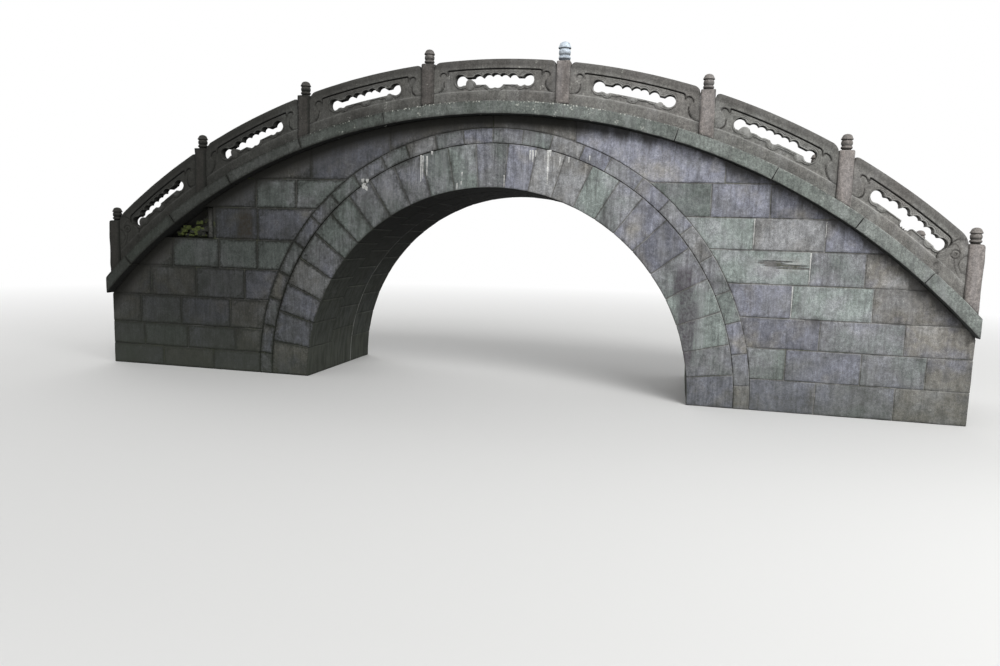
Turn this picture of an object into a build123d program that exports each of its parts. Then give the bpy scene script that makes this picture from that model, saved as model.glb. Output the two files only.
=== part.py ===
"""Stone moon bridge: a half-round arch under a steep bowed walkway with carved balustrades.

X runs along the bridge, Y across it with the front at -Y, and Z is up. The origin is in the
middle of the bridge at the level of the water, which is where its walls and arch feet end.
"""

from build123d import *
from math import asin, cos, degrees, sin, sqrt
import os

# Arch, in millimetres
span_radius = 2500
springing_height = 60
ring_depth = 545
ring_segments = 11
ring_joint = 0.5
band_depth = 185

# Walls and fill
bridge_width = 2050
wall_thickness = 300
end_wall_thickness = 400
crown_cover = 150
bed_joint = 0.3

# Bowed coping, on an arc that is much flatter than the arch
coping_soffit_radius = 7565
coping_thickness = 160
coping_overhang = 125
coping_joint = 0.5
coping_joint_places = (-5200, -4480, -3600, -2550, -1400, -190, 1030, 2210, 3320, 4250, 5010)

# Hollow in the front wall under the left coping, where one wall stone is lost
lost_stone_start = 3940
lost_stone_bottom = 1825
lost_stone_height = 420
lost_stone_depth = 120

# Walkway: bowed paving over the crown, then a flight of steps down to the path at each end
paving_drop = 15
paving_thickness = 150
paving_half_length = 2000
path_level = 1400
risers = 12
step_bed = 60
step_joint = 0.5

# Balustrade posts
post_offsets = (850, 2540, 4075, 5470)
post_width = 170
post_shoulder = 22
post_line_from_face = 35
end_margin = 15
balustrade_height = 512

# Turned caps of the posts: radii, then heights from the shoulder up
cap_neck_radius = 50
cap_ring_radius = 64
cap_drum_radius = 62
cap_lip_radius = 67
cap_neck_height = 14
cap_ring_height = 30
cap_drum_height = 66
cap_lip_height = 18
cap_dome_height = 52
replaced_cap_radius = 78
replaced_cap_height = 228
replaced_post = ("front", 5)

# Balustrade panels
panel_thickness = 100
moulding_thickness = 130
rail_height = 118
base_height = 120
stile_width = 85
rail_corner = 55
rail_rounding = 30
opening_from_top = 262
opening_end_offset = 430
opening_end_radius = 65
opening_lobe_offset = 235
opening_lobe_radius = 58
opening_middle_radius = 92
opening_slot_height = 70

# Derived levels and radii
half_width = bridge_width / 2
fill_half_width = half_width - wall_thickness
ring_outer_radius = span_radius + ring_depth
ring_middle_radius = span_radius + ring_depth / 2
band_outer_radius = ring_outer_radius + band_depth
bow_centre = springing_height + band_outer_radius + crown_cover - coping_soffit_radius
coping_top_radius = coping_soffit_radius + coping_thickness
coping_width = coping_overhang + wall_thickness
deck_radius = coping_top_radius - paving_drop
paving_soffit_radius = deck_radius - paving_thickness
rail_top_radius = coping_top_radius + balustrade_height
half_length = post_offsets[-1] + post_width / 2 + end_margin
end_wall_inside = half_length - end_wall_thickness
post_line = half_width - post_line_from_face
opening_radius = rail_top_radius - opening_from_top
recess_depth = (moulding_thickness - panel_thickness) / 2
cap_height = cap_neck_height + cap_ring_height + cap_drum_height + cap_lip_height + cap_dome_height
drawing_height = 2 * (springing_height + band_outer_radius + crown_cover)

sides = {"left": -1, "right": 1}
faces = {"front": -1, "back": 1}


def bow_height(radius, offset):
    """Height of the bow of this radius at a distance from the crown along the bridge."""
    return bow_centre + sqrt(radius**2 - offset**2)


def bow_offset(radius, height):
    """Distance from the crown at which the bow of this radius is at this height."""
    return sqrt(radius**2 - (height - bow_centre) ** 2)


def facing(y):
    """Upright plane along the bridge at this y. Sketches on it are drawn in X and Z."""
    return Plane.XZ.offset(-y)


def stilted_arch(radius, mode=Mode.ADD):
    """Half-round of this radius on its short straight legs, added to the open sketch."""
    with BuildLine() as outline:
        foot = (radius, 0)
        spring = (radius, springing_height)
        far_spring = (-radius, springing_height)
        Polyline(spring, foot, (-radius, 0), far_spring)
        ThreePointArc(far_spring, (0, springing_height + radius), spring)
    make_face(outline.edges(), mode=mode)


def bow_disc(radius, mode=Mode.ADD):
    """Disc about the centre of the bow, added to or taken from the open sketch."""
    with Locations((0, bow_centre)):
        Circle(radius, mode=mode)


def upright_strip(start, end, bottom=0, mode=Mode.ADD):
    """Rectangle between two distances along the bridge, tall enough to pass every bow."""
    with Locations(((start + end) / 2, bottom + drawing_height / 2)):
        Rectangle(abs(end - start), drawing_height, mode=mode)


def save(piece, name):
    """Names a finished piece and writes it as one file."""
    piece.part.label = name
    export_step(piece.part, f"parts/{name}.step")


os.makedirs("parts", exist_ok=True)

# Barrel of the arch: three strips side by side over the span, each in segments of long stones
strip_names = ("front", "middle", "back")
strip_width = bridge_width / len(strip_names)
segment_angle = 180 / ring_segments
joints_range = 180 - segment_angle
for index, strip_name in enumerate(strip_names):
    strip_back = -half_width + (index + 1) * strip_width
    with BuildPart() as arch_ring:
        with BuildSketch(facing(strip_back)):
            stilted_arch(ring_outer_radius)
            stilted_arch(span_radius, mode=Mode.SUBTRACT)
            with Locations((0, springing_height)):
                with PolarLocations(ring_middle_radius, ring_segments - 1, segment_angle, joints_range):
                    Rectangle(2 * ring_depth, ring_joint, mode=Mode.SUBTRACT)
        extrude(amount=strip_width)
    save(arch_ring, f"arch_ring_{strip_name}")

# Band of thin stones around the ring, flush with each face of the bridge
for face, side in faces.items():
    band_back = max(side * half_width, side * fill_half_width)
    with BuildPart() as arch_band:
        with BuildSketch(facing(band_back)):
            stilted_arch(band_outer_radius)
            stilted_arch(ring_outer_radius + bed_joint, mode=Mode.SUBTRACT)
        extrude(amount=wall_thickness)
    save(arch_band, f"arch_band_{face}")

# Spandrel walls between the band, the coping, the base and the ends of the bridge
for face, side in faces.items():
    wall_back = max(side * half_width, side * fill_half_width)
    for end, direction in sides.items():
        with BuildPart() as spandrel_wall:
            with BuildSketch(facing(wall_back)):
                upright_strip(0, direction * half_length)
                bow_disc(coping_soffit_radius - bed_joint, mode=Mode.INTERSECT)
                stilted_arch(band_outer_radius + bed_joint, mode=Mode.SUBTRACT)
            extrude(amount=wall_thickness)
            if (face, end) == ("front", "left"):
                with BuildSketch(facing(lost_stone_depth - half_width)):
                    with Locations((-lost_stone_start, lost_stone_bottom)):
                        Rectangle(half_length, lost_stone_height, align=(Align.MAX, Align.MIN))
                extrude(amount=lost_stone_depth, mode=Mode.SUBTRACT)
        save(spandrel_wall, f"spandrel_wall_{face}_{end}")

# Levels and nosings of the steps: each nosing lies on the bow of the walkway
paving_end_height = bow_height(deck_radius, paving_half_length)
riser_height = (paving_end_height - path_level) / risers
step_thickness = riser_height - step_joint
step_levels = [paving_end_height - count * riser_height for count in range(1, risers + 1)]
nosings = [bow_offset(deck_radius, level) for level in step_levels[:-1]] + [half_length]
step_backs = [paving_half_length] + [nosing - step_bed for nosing in nosings[:-1]]

# Rubble fill between the walls, stepped on top to bed the flights
for end, direction in sides.items():
    with BuildPart() as fill:
        with BuildSketch(facing(fill_half_width)):
            upright_strip(0, direction * end_wall_inside)
            bow_disc(paving_soffit_radius - bed_joint, mode=Mode.INTERSECT)
            stilted_arch(ring_outer_radius + bed_joint, mode=Mode.SUBTRACT)
            for level, back in zip(step_levels, step_backs):
                bed_height = level - step_thickness
                upright_strip(direction * back, direction * half_length, bed_height, Mode.SUBTRACT)
        extrude(amount=2 * fill_half_width)
    save(fill, f"fill_{end}")

# Steps: solid stones, each lying a little way under the one above, and the threshold last
for end, direction in sides.items():
    with BuildPart() as steps:
        with BuildSketch(facing(fill_half_width)):
            for level, back, nosing in zip(step_levels, step_backs, nosings):
                with Locations((direction * (back + nosing) / 2, level - step_thickness / 2)):
                    Rectangle(nosing - back, step_thickness)
        extrude(amount=2 * fill_half_width)
    save(steps, f"steps_{end}")

# Bowed paving over the crown
with BuildPart() as crown_paving:
    with BuildSketch(facing(fill_half_width)):
        upright_strip(-paving_half_length, paving_half_length)
        bow_disc(deck_radius, mode=Mode.INTERSECT)
        bow_disc(paving_soffit_radius, mode=Mode.SUBTRACT)
    extrude(amount=2 * fill_half_width)
save(crown_paving, "crown_paving")

# End walls under the thresholds, where the path meets the bridge
threshold_bed = step_levels[-1] - step_thickness
for end, direction in sides.items():
    with BuildPart() as end_wall:
        with BuildSketch(facing(fill_half_width)):
            with Locations((direction * (end_wall_inside + half_length) / 2, threshold_bed / 2)):
                Rectangle(end_wall_thickness, threshold_bed)
        extrude(amount=2 * fill_half_width)
    save(end_wall, f"end_wall_{end}")

# Coping stones along each side, meeting in upright joints
coping_end = half_length + coping_joint / 2
coping_edges = [-coping_end, *coping_joint_places, coping_end]
for face, side in faces.items():
    coping_back = max(side * (half_width + coping_overhang), side * fill_half_width)
    with BuildPart() as coping:
        with BuildSketch(facing(coping_back)):
            for near, far in zip(coping_edges, coping_edges[1:]):
                upright_strip(near + coping_joint / 2, far - coping_joint / 2)
            bow_disc(coping_top_radius, mode=Mode.INTERSECT)
            bow_disc(coping_soffit_radius, mode=Mode.SUBTRACT)
        extrude(amount=coping_width)
    save(coping, f"coping_{face}")


def cap_outline(radius, height):
    """Half outline of a turned cap: neck, ring, drum, lip and dome, widened and raised alike."""
    wide = radius / cap_lip_radius
    tall = height / cap_height
    neck = cap_neck_radius * wide
    drum = cap_drum_radius * wide
    ring_bottom = cap_neck_height * tall
    ring_top = ring_bottom + cap_ring_height * tall
    drum_bevel = (drum - neck) * tall
    drum_top = ring_top + cap_drum_height * tall
    lip_top = drum_top + cap_lip_height * tall
    dome_height = height - lip_top
    dome_radius = (radius**2 + dome_height**2) / (2 * dome_height)
    dome_lean = asin(radius / dome_radius) / 2
    dome_middle = (dome_radius * sin(dome_lean), height - dome_radius * (1 - cos(dome_lean)))
    with BuildLine() as outline:
        Polyline((0, height), (0, 0), (neck, 0), (neck, ring_bottom))
        ring_middle = (cap_ring_radius * wide, (ring_bottom + ring_top) / 2)
        ThreePointArc((neck, ring_bottom), ring_middle, (neck, ring_top))
        Polyline(
            (neck, ring_top),
            (drum, ring_top + drum_bevel),
            (drum, drum_top - drum_bevel),
            (neck, drum_top),
            (radius, drum_top),
            (radius, lip_top),
        )
        ThreePointArc((radius, lip_top), dome_middle, (0, height))
    make_face(outline.edges())


# Posts: upright square shafts cut to the bow at the foot, with turned caps
post_places = [-offset for offset in reversed(post_offsets)] + list(post_offsets)
for face, side in faces.items():
    for number, place in enumerate(post_places, start=1):
        shaft_top = bow_height(rail_top_radius, place)
        replaced = (face, number) == replaced_post
        with BuildPart() as post:
            with BuildSketch(facing(side * post_line + post_width / 2)):
                with Locations((place, shaft_top - drawing_height / 2)):
                    Rectangle(post_width, drawing_height)
                bow_disc(coping_top_radius + bed_joint, mode=Mode.SUBTRACT)
            extrude(amount=post_width)
            fillet(post.faces().sort_by(Axis.Z)[-1].edges(), radius=post_shoulder)
            cap_foot = (place, side * post_line, shaft_top)
            with BuildSketch(Plane(origin=cap_foot, x_dir=(1, 0, 0), z_dir=(0, -1, 0))):
                if replaced:
                    cap_outline(replaced_cap_radius, replaced_cap_height)
                else:
                    cap_outline(cap_lip_radius, cap_height)
            revolve(axis=Axis(cap_foot, (0, 0, 1)))
        save(post, f"post_{face}_{number}")


def at_rail_top(edge):
    """Whether an edge lies on the bow of the rail's top."""
    place = edge.center()
    return abs(bow_height(rail_top_radius, place.X) - place.Z) < bed_joint


def lobed_opening():
    """Pierced cloud shape lying along X: a row of round lobes joined by a slot."""
    Rectangle(2 * opening_end_offset, opening_slot_height)
    Circle(opening_middle_radius)
    with Locations((-opening_lobe_offset, 0), (opening_lobe_offset, 0)):
        Circle(opening_lobe_radius)
    with Locations((-opening_end_offset, 0), (opening_end_offset, 0)):
        Circle(opening_end_radius)


# Panels between the posts: a moulded rail, base and stiles around a thinner pierced slab
for face, side in faces.items():
    for number, (place, next_place) in enumerate(zip(post_places, post_places[1:]), start=1):
        start = place + post_width / 2
        end = next_place - post_width / 2
        middle = (start + end) / 2
        moulding_back = side * post_line + moulding_thickness / 2
        tilt = -degrees(asin(middle / opening_radius))
        opening_place = Location((middle, bow_height(opening_radius, middle), 0), (0, 0, tilt))
        with BuildPart() as panel:
            with BuildSketch(facing(moulding_back)):
                upright_strip(start, end)
                bow_disc(rail_top_radius, mode=Mode.INTERSECT)
                bow_disc(coping_top_radius + bed_joint, mode=Mode.SUBTRACT)
            extrude(amount=moulding_thickness)
            corners = panel.edges().filter_by(Axis.Y).filter_by(at_rail_top)
            fillet(corners, radius=rail_corner)
            rail_edges = panel.faces().sort_by(Axis.Z)[-1].edges().filter_by(Axis.Y, reverse=True)
            fillet(rail_edges, radius=rail_rounding)
            for recess_side in faces.values():
                recess_face = side * post_line + recess_side * moulding_thickness / 2
                recess_back = max(recess_face, recess_face - recess_side * recess_depth)
                with BuildSketch(facing(recess_back)):
                    upright_strip(start + stile_width, end - stile_width)
                    bow_disc(rail_top_radius - rail_height, mode=Mode.INTERSECT)
                    bow_disc(coping_top_radius + base_height, mode=Mode.SUBTRACT)
                extrude(amount=recess_depth, mode=Mode.SUBTRACT)
            with BuildSketch(facing(moulding_back)):
                with Locations(opening_place):
                    lobed_opening()
            extrude(amount=moulding_thickness, mode=Mode.SUBTRACT)
        save(panel, f"panel_{face}_{number}")
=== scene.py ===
# %% [markdown]
# # A stone moon bridge
#
# The bridge is a half-round arch under a steep bowed walkway, in old grey stone. Its solids come
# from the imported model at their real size. This lesson dresses them: each solid is taken apart
# into the stones that it is made of, and each stone gets worn arrises and a weathered finish.
# Everything is in metres, with X along the bridge, the front at -Y, and the water level at Z 0.

import bpy
import numpy as np
from mathutils import Matrix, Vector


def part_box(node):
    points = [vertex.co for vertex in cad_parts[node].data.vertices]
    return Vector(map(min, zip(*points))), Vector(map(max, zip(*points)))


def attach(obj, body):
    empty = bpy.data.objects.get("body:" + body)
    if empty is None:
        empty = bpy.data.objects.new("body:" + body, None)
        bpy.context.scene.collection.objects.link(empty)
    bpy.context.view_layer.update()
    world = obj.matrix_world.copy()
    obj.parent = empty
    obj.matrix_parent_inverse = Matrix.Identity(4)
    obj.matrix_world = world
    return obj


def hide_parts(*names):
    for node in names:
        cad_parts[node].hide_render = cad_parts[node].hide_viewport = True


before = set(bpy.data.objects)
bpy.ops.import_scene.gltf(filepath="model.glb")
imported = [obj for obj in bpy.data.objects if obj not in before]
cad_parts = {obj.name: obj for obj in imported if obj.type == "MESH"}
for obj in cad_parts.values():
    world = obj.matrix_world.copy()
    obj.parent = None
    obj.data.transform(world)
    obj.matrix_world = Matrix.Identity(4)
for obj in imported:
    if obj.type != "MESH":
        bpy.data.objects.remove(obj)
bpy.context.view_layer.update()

# %% [markdown]
# ## Sizes read from the solids
#
# A mason sets the bridge out with two compasses: one for the half-round arch, and one with a much
# longer reach for the bow of the walkway. Both could be typed in again here, but they are read
# from the boxes of the solids instead, so that the stones always fit. A bow's radius follows from
# its half chord c and its rise s: it is (c squared + s squared) / 2s.

# %% Arch and bow
ring_low, ring_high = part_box("arch_ring_front")
band_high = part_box("arch_band_front")[1]
wall_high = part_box("spandrel_wall_front_right")[1]
coping_low, coping_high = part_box("coping_front")
paving_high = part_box("crown_paving")[1]
crown_panel_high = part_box("panel_front_4")[1]
ring_outer = ring_high.x
springing = ring_high.z - ring_outer
band_outer = band_high.x
ring_stone_length = 0.545
ring_inner = ring_outer - ring_stone_length
face_y = ring_low.y
strip_width = ring_high.y - ring_low.y
half_length = coping_high.x
rise = wall_high.z - coping_low.z
soffit_radius = (half_length**2 + rise**2) / (2 * rise)
bow_centre = wall_high.z - soffit_radius
coping_top = coping_high.z - bow_centre
deck_radius = paving_high.z - bow_centre
rail_top = crown_panel_high.z - bow_centre
wall_inside = coping_high.y
wall_thickness = wall_inside - face_y
print("radius of the arch", round(ring_inner, 3), "and of the bow", round(soffit_radius, 3))

# %% [markdown]
# ## Camera
#
# The camera stands where the photographer stood, on a low walk over the water a little to the
# right of the middle, with the lens almost two metres up. Its place, its turn and its lens were
# worked out from points on the arch and the bow. The turn is built as a matrix from its yaw, its
# pitch and its small roll, because a tracking constraint would lose the roll.

# %% Camera at the photograph's angle
eye = (2.302, -10.247, 1.955)
yaw = 0.2278
pitch = 0.1269
roll = 0.0298
forward = np.array([-np.sin(yaw) * np.cos(pitch), np.cos(yaw) * np.cos(pitch), -np.sin(pitch)])
level_right = np.array([np.cos(yaw), np.sin(yaw), 0.0])
level_up = np.cross(level_right, forward)
camera_right = np.cos(roll) * level_right + np.sin(roll) * level_up
camera_up = -np.sin(roll) * level_right + np.cos(roll) * level_up
turn = Matrix(np.stack([camera_right, camera_up, -forward], axis=1).tolist()).to_4x4()
camera = bpy.data.objects.new("camera", bpy.data.cameras.new("camera"))
camera.data.sensor_width = 36
camera.data.lens = 27.03
camera.matrix_world = Matrix.Translation(eye) @ turn
bpy.context.scene.collection.objects.link(camera)
bpy.context.scene.camera = camera
print("camera at", eye)

# %% [markdown]
# ## Shapes from formulas
#
# Old stone is never quite flat or sharp. Its arrises are rounded by the weather, and its faces
# swell and dip a little. A sculpted or displaced mesh could show that, but it would need far more
# faces, and the same dent on every stone. Here a stone is a formula: a grid wrapped round a box,
# closer together at its arrises, rounded and worn, and then carried to its place on the arch, on
# the bow or in a course.

# %% Smooth bumps
def ripple(points, seed, size):
    """Smooth bumps between about -1 and 1: nine sine waves in random directions, three of
    wavelength `size`, three of half and three of a quarter of it, each as high as it is long."""
    random = np.random.default_rng(seed)
    total = np.zeros(len(points))
    for octave in (1, 2, 4):
        for _ in range(3):
            direction = random.normal(size=3)
            direction /= np.linalg.norm(direction)
            phase = random.uniform(0, 2 * np.pi)
            total += np.sin(2 * np.pi * octave * (points @ direction) / size + phase) / octave
    return total / 3


def smooth_step(value):
    """0 below 0, 1 above 1, and an S curve between."""
    value = np.clip(value, 0, 1)
    return value * value * (3 - 2 * value)


# %% Grid wrapped round a box
def sheet_quads(sheet, way=1):
    """Quads of a sheet of point numbers, wound one way or the other."""
    corners = [sheet[:-1, :-1], sheet[1:, :-1], sheet[1:, 1:], sheet[:-1, 1:]]
    return np.stack(corners[::way], axis=-1).reshape(-1, 4)


def wrapped_grid(columns, rows, layers):
    """Whole-number places of the points on the surface of a box of cells, and its quads. Opposite
    sheets of the box are wound opposite ways, so that all quads face outwards."""
    index = np.full((columns + 1, rows + 1, layers + 1), -1)
    i, j, k = np.indices(index.shape)
    outside = (i == 0) | (i == columns) | (j == 0) | (j == rows) | (k == 0) | (k == layers)
    index[outside] = np.arange(outside.sum())
    places = np.stack([i[outside], j[outside], k[outside]], axis=1)
    sheets = (
        (index[0], -1),
        (index[-1], 1),
        (index[:, 0], 1),
        (index[:, -1], -1),
        (index[:, :, 0], -1),
        (index[:, :, -1], 1),
    )
    return places, np.concatenate([sheet_quads(sheet, way) for sheet, way in sheets])


def knots(length, arris, step):
    """Places along one side of a stone: close together over its two arrises and the margins beside
    them, evenly spaced between."""
    rim = np.array([0, 0.35 * arris, arris])
    margin = min(arris + 0.02, length / 3)
    cells = max(1, int(np.ceil((length - 2 * margin) / step)))
    middle = np.linspace(margin, length - margin, cells + 1)
    return np.concatenate([rim, middle, length - rim[::-1]])


# %% Worn block
def worn_block(size, seed, arris=0.009, step=0.1, wear=0.004):
    """A block with one corner at 0. Each point of the wrapped grid is pulled onto the surface of a
    box rounded by a ball, whose radius swells and shrinks along the arris, and then worn back
    along that surface's normal by a slow ripple of depth `wear` and a quick one of a third of it.
    Also gives each point's distance from the nearest arris."""
    size = np.asarray(size, float)
    arris = min(arris, size.min() / 4)
    steps = np.broadcast_to(step, 3)
    sides = [knots(length, arris, spacing) for length, spacing in zip(size, steps)]
    places, quads = wrapped_grid(*(len(side) - 1 for side in sides))
    points = np.stack([side[places[:, axis]] for axis, side in enumerate(sides)], axis=1)
    margins = np.sort(np.minimum(points, size - points), axis=1)
    from_arris = margins[:, 1]
    ball = arris * (1 + 0.55 * ripple(points, seed, 0.3))[:, None]
    ball = np.clip(ball, 0.3 * arris, size.min() / 3)
    inner = np.clip(points, ball, size - ball)
    outwards = points - inner
    outwards /= np.linalg.norm(outwards, axis=1)[:, None]
    slow = wear * (0.5 + 0.5 * ripple(points, seed + 1, 0.55))
    depth = np.clip(slow + wear / 3 * ripple(points, seed + 2, 0.12), 0, None)
    return inner + outwards * (ball - depth[:, None]), quads, from_arris


print("points on a stone 0.6 m long:", len(worn_block((0.6, 0.3, 0.4), seed=1)[0]))

# %% [markdown]
# ## From stones to a piece
#
# One mesh for each stone would make hundreds of objects, so the stones of a wall or a ring are
# gathered into one mesh. Every point keeps four numbers for the finish: the stone's own tone, a
# second number that picks its tint, how far the point is from an arris, and how stained or shaded
# it is: dark above 0, for dirt and also for painted shade, and pale below. Between the stones
# stands the mortar: one plain block that lies a few millimetres behind their faces, with its own
# finish.

# %% Gather stones into one mesh
joint_gap = 0.0035
joint_depth = 0.008


def outward(points, quads):
    """The quads, turned over if they enclose a negative volume: a mirrored place turns a stone
    inside out. The volume is the sum of the wedges between each face and the origin."""
    first, second, third, fourth = (points[quads[:, corner]] for corner in range(4))
    volume = np.einsum("ij,ij->", first, np.cross(second, third) + np.cross(third, fourth))
    return quads if volume > 0 else quads[:, ::-1]


def make_part(points, quads, **numbers):
    """A closed part: its points and quads, the numbers that the finish reads at each point, and the
    place of each quad's finish in the list of the piece."""
    part = {key: np.zeros(len(points)) + value for key, value in numbers.items()}
    part.update(points=points, quads=outward(points, quads), finish=np.zeros(len(quads), int))
    return part


def stone(size, place, seed, tone=None, tint=None, **shape):
    """One worn block carried to its place: `place` turns points of the block into the frame's."""
    points, quads, from_arris = worn_block(size, seed, **shape)
    random = np.random.default_rng(seed)
    own_tone = random.uniform(0, 1)
    own_tint = random.uniform(0, 1)
    tone = own_tone if tone is None else tone
    tint = own_tint if tint is None else tint
    return make_part(place(points), quads, arris=from_arris, tone=tone, tint=tint, stain=0)


def mortar(size, place):
    """The plain block that shows in the joints."""
    part = stone(size, place, seed=1, tone=0.5, tint=0.5, arris=0.003, step=0.2, wear=0)
    part["finish"] += 1
    return part


def build_piece(name, parts, materials, slot, *nodes):
    """Joins the parts into one mesh that rides on the bridge and stands for the nodes named."""
    counts = [len(part["points"]) for part in parts]
    starts = np.cumsum([0] + counts[:-1])
    points = np.concatenate([part["points"] for part in parts])
    quads = np.concatenate([part["quads"] + start for part, start in zip(parts, starts)])
    mesh = bpy.data.meshes.new(name)
    mesh.from_pydata(points, [], quads)
    for key in ("arris", "tone", "tint", "stain"):
        values = np.concatenate([part[key] for part in parts])
        mesh.attributes.new(key, "FLOAT", "POINT").data.foreach_set("value", values)
    for material in materials:
        mesh.materials.append(material)
    finishes = np.concatenate([part["finish"] for part in parts])
    mesh.polygons.foreach_set("material_index", finishes)
    mesh.shade_smooth()
    mesh.validate()
    piece = bpy.data.objects.new(name, mesh)
    bpy.context.scene.collection.objects.link(piece)
    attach(piece, "root")
    if nodes:
        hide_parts(*nodes)
    print(name, len(parts), "parts", 2 * len(quads), "triangles")
    return piece


# %% [markdown]
# ## Finishes
#
# The stone is a fine grey kind with purple, green and brown casts that change from block to
# block. Rain has drawn it into upright streaks, lime has run out of the joints, and lichen dots
# the edges that get light. A photograph of stone could be wrapped round the blocks, but it would
# repeat and stretch. Noise in the object's own coordinates does neither: each layer is a noise at
# the real size of the thing it stands for, and lies over the one before.

# %% Nodes in few words
class Nodes:
    """The node tree of a material or of the world, with the few operations that are needed here.
    A value may be a number, a colour or the output of another node."""

    def __init__(self, owner):
        owner.use_nodes = True
        self.tree = owner.node_tree

    def fill(self, socket, value):
        """Links a socket to an output, or sets it to a value."""
        if isinstance(value, bpy.types.NodeSocket):
            self.tree.links.new(value, socket)
        elif socket.type == "RGBA":
            socket.default_value = (*value, 1)
        else:
            socket.default_value = value

    def add(self, kind, settings=None, **sockets):
        """Adds a node and fills its sockets, by name or by number after an underscore."""
        node = self.tree.nodes.new(kind)
        for name, value in (settings or {}).items():
            setattr(node, name, value)
        for name, value in sockets.items():
            key = int(name[1:]) if name[1:].isdigit() else name.replace("_", " ")
            self.fill(node.inputs[key], value)
        return node

    def between(self, value, low, high, from_value=0, to_value=1):
        """Value stretched so that low becomes from_value and high to_value, and held there."""
        settings = {"_1": low, "_2": high, "_3": from_value, "_4": to_value}
        return self.add("ShaderNodeMapRange", Value=value, **settings).outputs[0]

    def calculate(self, operation, *values):
        """One sum, product or other operation of one value or two."""
        sockets = {f"_{number}": value for number, value in enumerate(values)}
        return self.add("ShaderNodeMath", {"operation": operation}, **sockets).outputs[0]

    def add_up(self, first, second):
        """The sum of two values."""
        return self.calculate("ADD", first, second)

    def times(self, *shares):
        """The product of all the shares."""
        product = shares[0]
        for share in shares[1:]:
            product = self.calculate("MULTIPLY", product, share)
        return product

    def off(self, value, middle):
        """How far a value is from a middle, either way."""
        return self.calculate("ABSOLUTE", self.calculate("SUBTRACT", value, middle))

    def vector(self, operation, output=0, **sockets):
        """One operation on a colour or a place."""
        return self.add("ShaderNodeVectorMath", {"operation": operation}, **sockets).outputs[output]


# %% [markdown]
# ## What the layers share
#
# Every layer needs to know where it is, and the same few noises draw the streaks, blotches and
# specks in all of them. So a finish in the making keeps them, with the colour laid so far. Each
# layer is a function of the finish that it is laid on: it lays a colour over the one so far in some
# share, or shades it by a factor. The numbers are metres, shares and linear colour values, found by
# comparing renders with the photograph.

# %% A finish in the making
class StoneFinish(Nodes):
    """The places, noises and numbers that the layers read, and the colour laid so far."""

    def __init__(self, name, casts):
        self.material = bpy.data.materials.new(name)
        super().__init__(self.material)
        self.place = self.add("ShaderNodeTexCoord").outputs["Object"]
        self.x, self.y, self.z = self.add("ShaderNodeSeparateXYZ", _0=self.place).outputs
        normal = self.add("ShaderNodeNewGeometry").outputs["Normal"]
        self.up = self.add("ShaderNodeSeparateXYZ", _0=normal).outputs[2]
        self.clouds = self.noise(0.5, detail=6)
        self.grain = self.noise(0.011, detail=3)
        self.specks = self.noise(0.035, detail=5, roughness=0.75)
        self.blotches = self.noise(0.13, detail=6, roughness=0.7, shift=3)
        self.streak = self.noise(0.06, detail=5, longer=8, roughness=0.65)
        self.fine_streak = self.noise(0.022, detail=4, longer=12, roughness=0.6, shift=13)
        self.wide_streak = self.noise(0.22, detail=5, longer=5, roughness=0.65, shift=7)
        self.from_arris = self.attribute("arris")
        cast = self.add_up(self.attribute("tint"), self.between(self.clouds, 0.3, 0.7, -0.25, 0.25))
        self.colour = self.choose(cast, casts)

    def noise(self, size, detail=4, longer=1, roughness=0.55, shift=0):
        """Noise with lumps of about `size` metres, and so many times longer up the wall."""
        scale = (1 / size, 1 / size, 1 / (size * longer))
        shifted = {"Location": (shift, shift, shift), "Scale": scale}
        mapping = self.add("ShaderNodeMapping", Vector=self.place, **shifted)
        lumps = {"Scale": 1, "Detail": detail, "Roughness": roughness}
        return self.add("ShaderNodeTexNoise", Vector=mapping.outputs[0], **lumps).outputs["Fac"]

    def attribute(self, name):
        """A number kept on the mesh."""
        return self.add("ShaderNodeAttribute", {"attribute_name": name}).outputs["Fac"]

    def choose(self, value, colours):
        """A ramp through the colours, evenly spaced."""
        node = self.add("ShaderNodeValToRGB", _0=value)
        stops = node.color_ramp.elements
        while len(stops) < len(colours):
            stops.new(0.5)
        for number, (stop, colour) in enumerate(zip(stops, colours)):
            stop.position = number / (len(colours) - 1)
            stop.color = (*colour, 1)
        return node.outputs[0]

    def from_axis(self, height):
        """Distance from a line straight across the bridge at this height, such as a bow's axis."""
        flat = self.vector("MULTIPLY_ADD", _0=self.place, _1=(1, 0, 1), _2=(0, 0, -height))
        return self.vector("LENGTH", "Value", _0=flat)

    def lay(self, over, share):
        """Lays a colour over the one so far, in the given share."""
        mixed = self.add("ShaderNodeMix", {"data_type": "RGBA"}, _0=share, _6=self.colour, _7=over)
        self.colour = mixed.outputs[2]

    def shade(self, factor):
        """Makes the colour so far darker or lighter by a factor."""
        self.colour = self.vector("SCALE", _0=self.colour, Scale=factor)


# %% [markdown]
# ## Layers of weather
#
# The layers go on in the order in which the years laid them. The block's own cast comes first,
# with its tone, its clouds and grain, and the streaks of rain. Then the arrises turn pale with lime
# or dark with dirt by turns, and each stone gets the stains and the painted shade that its mesh
# keeps.

# %% Grain, rain, arrises and stains
dark = (0.06, 0.058, 0.056)
washed = (0.5, 0.5, 0.52)
lime = (0.56, 0.56, 0.54)
# Colour of dirt, and of painted shade in carved lines and gouges.
line_dirt_and_shade = (0.045, 0.04, 0.038)


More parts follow.
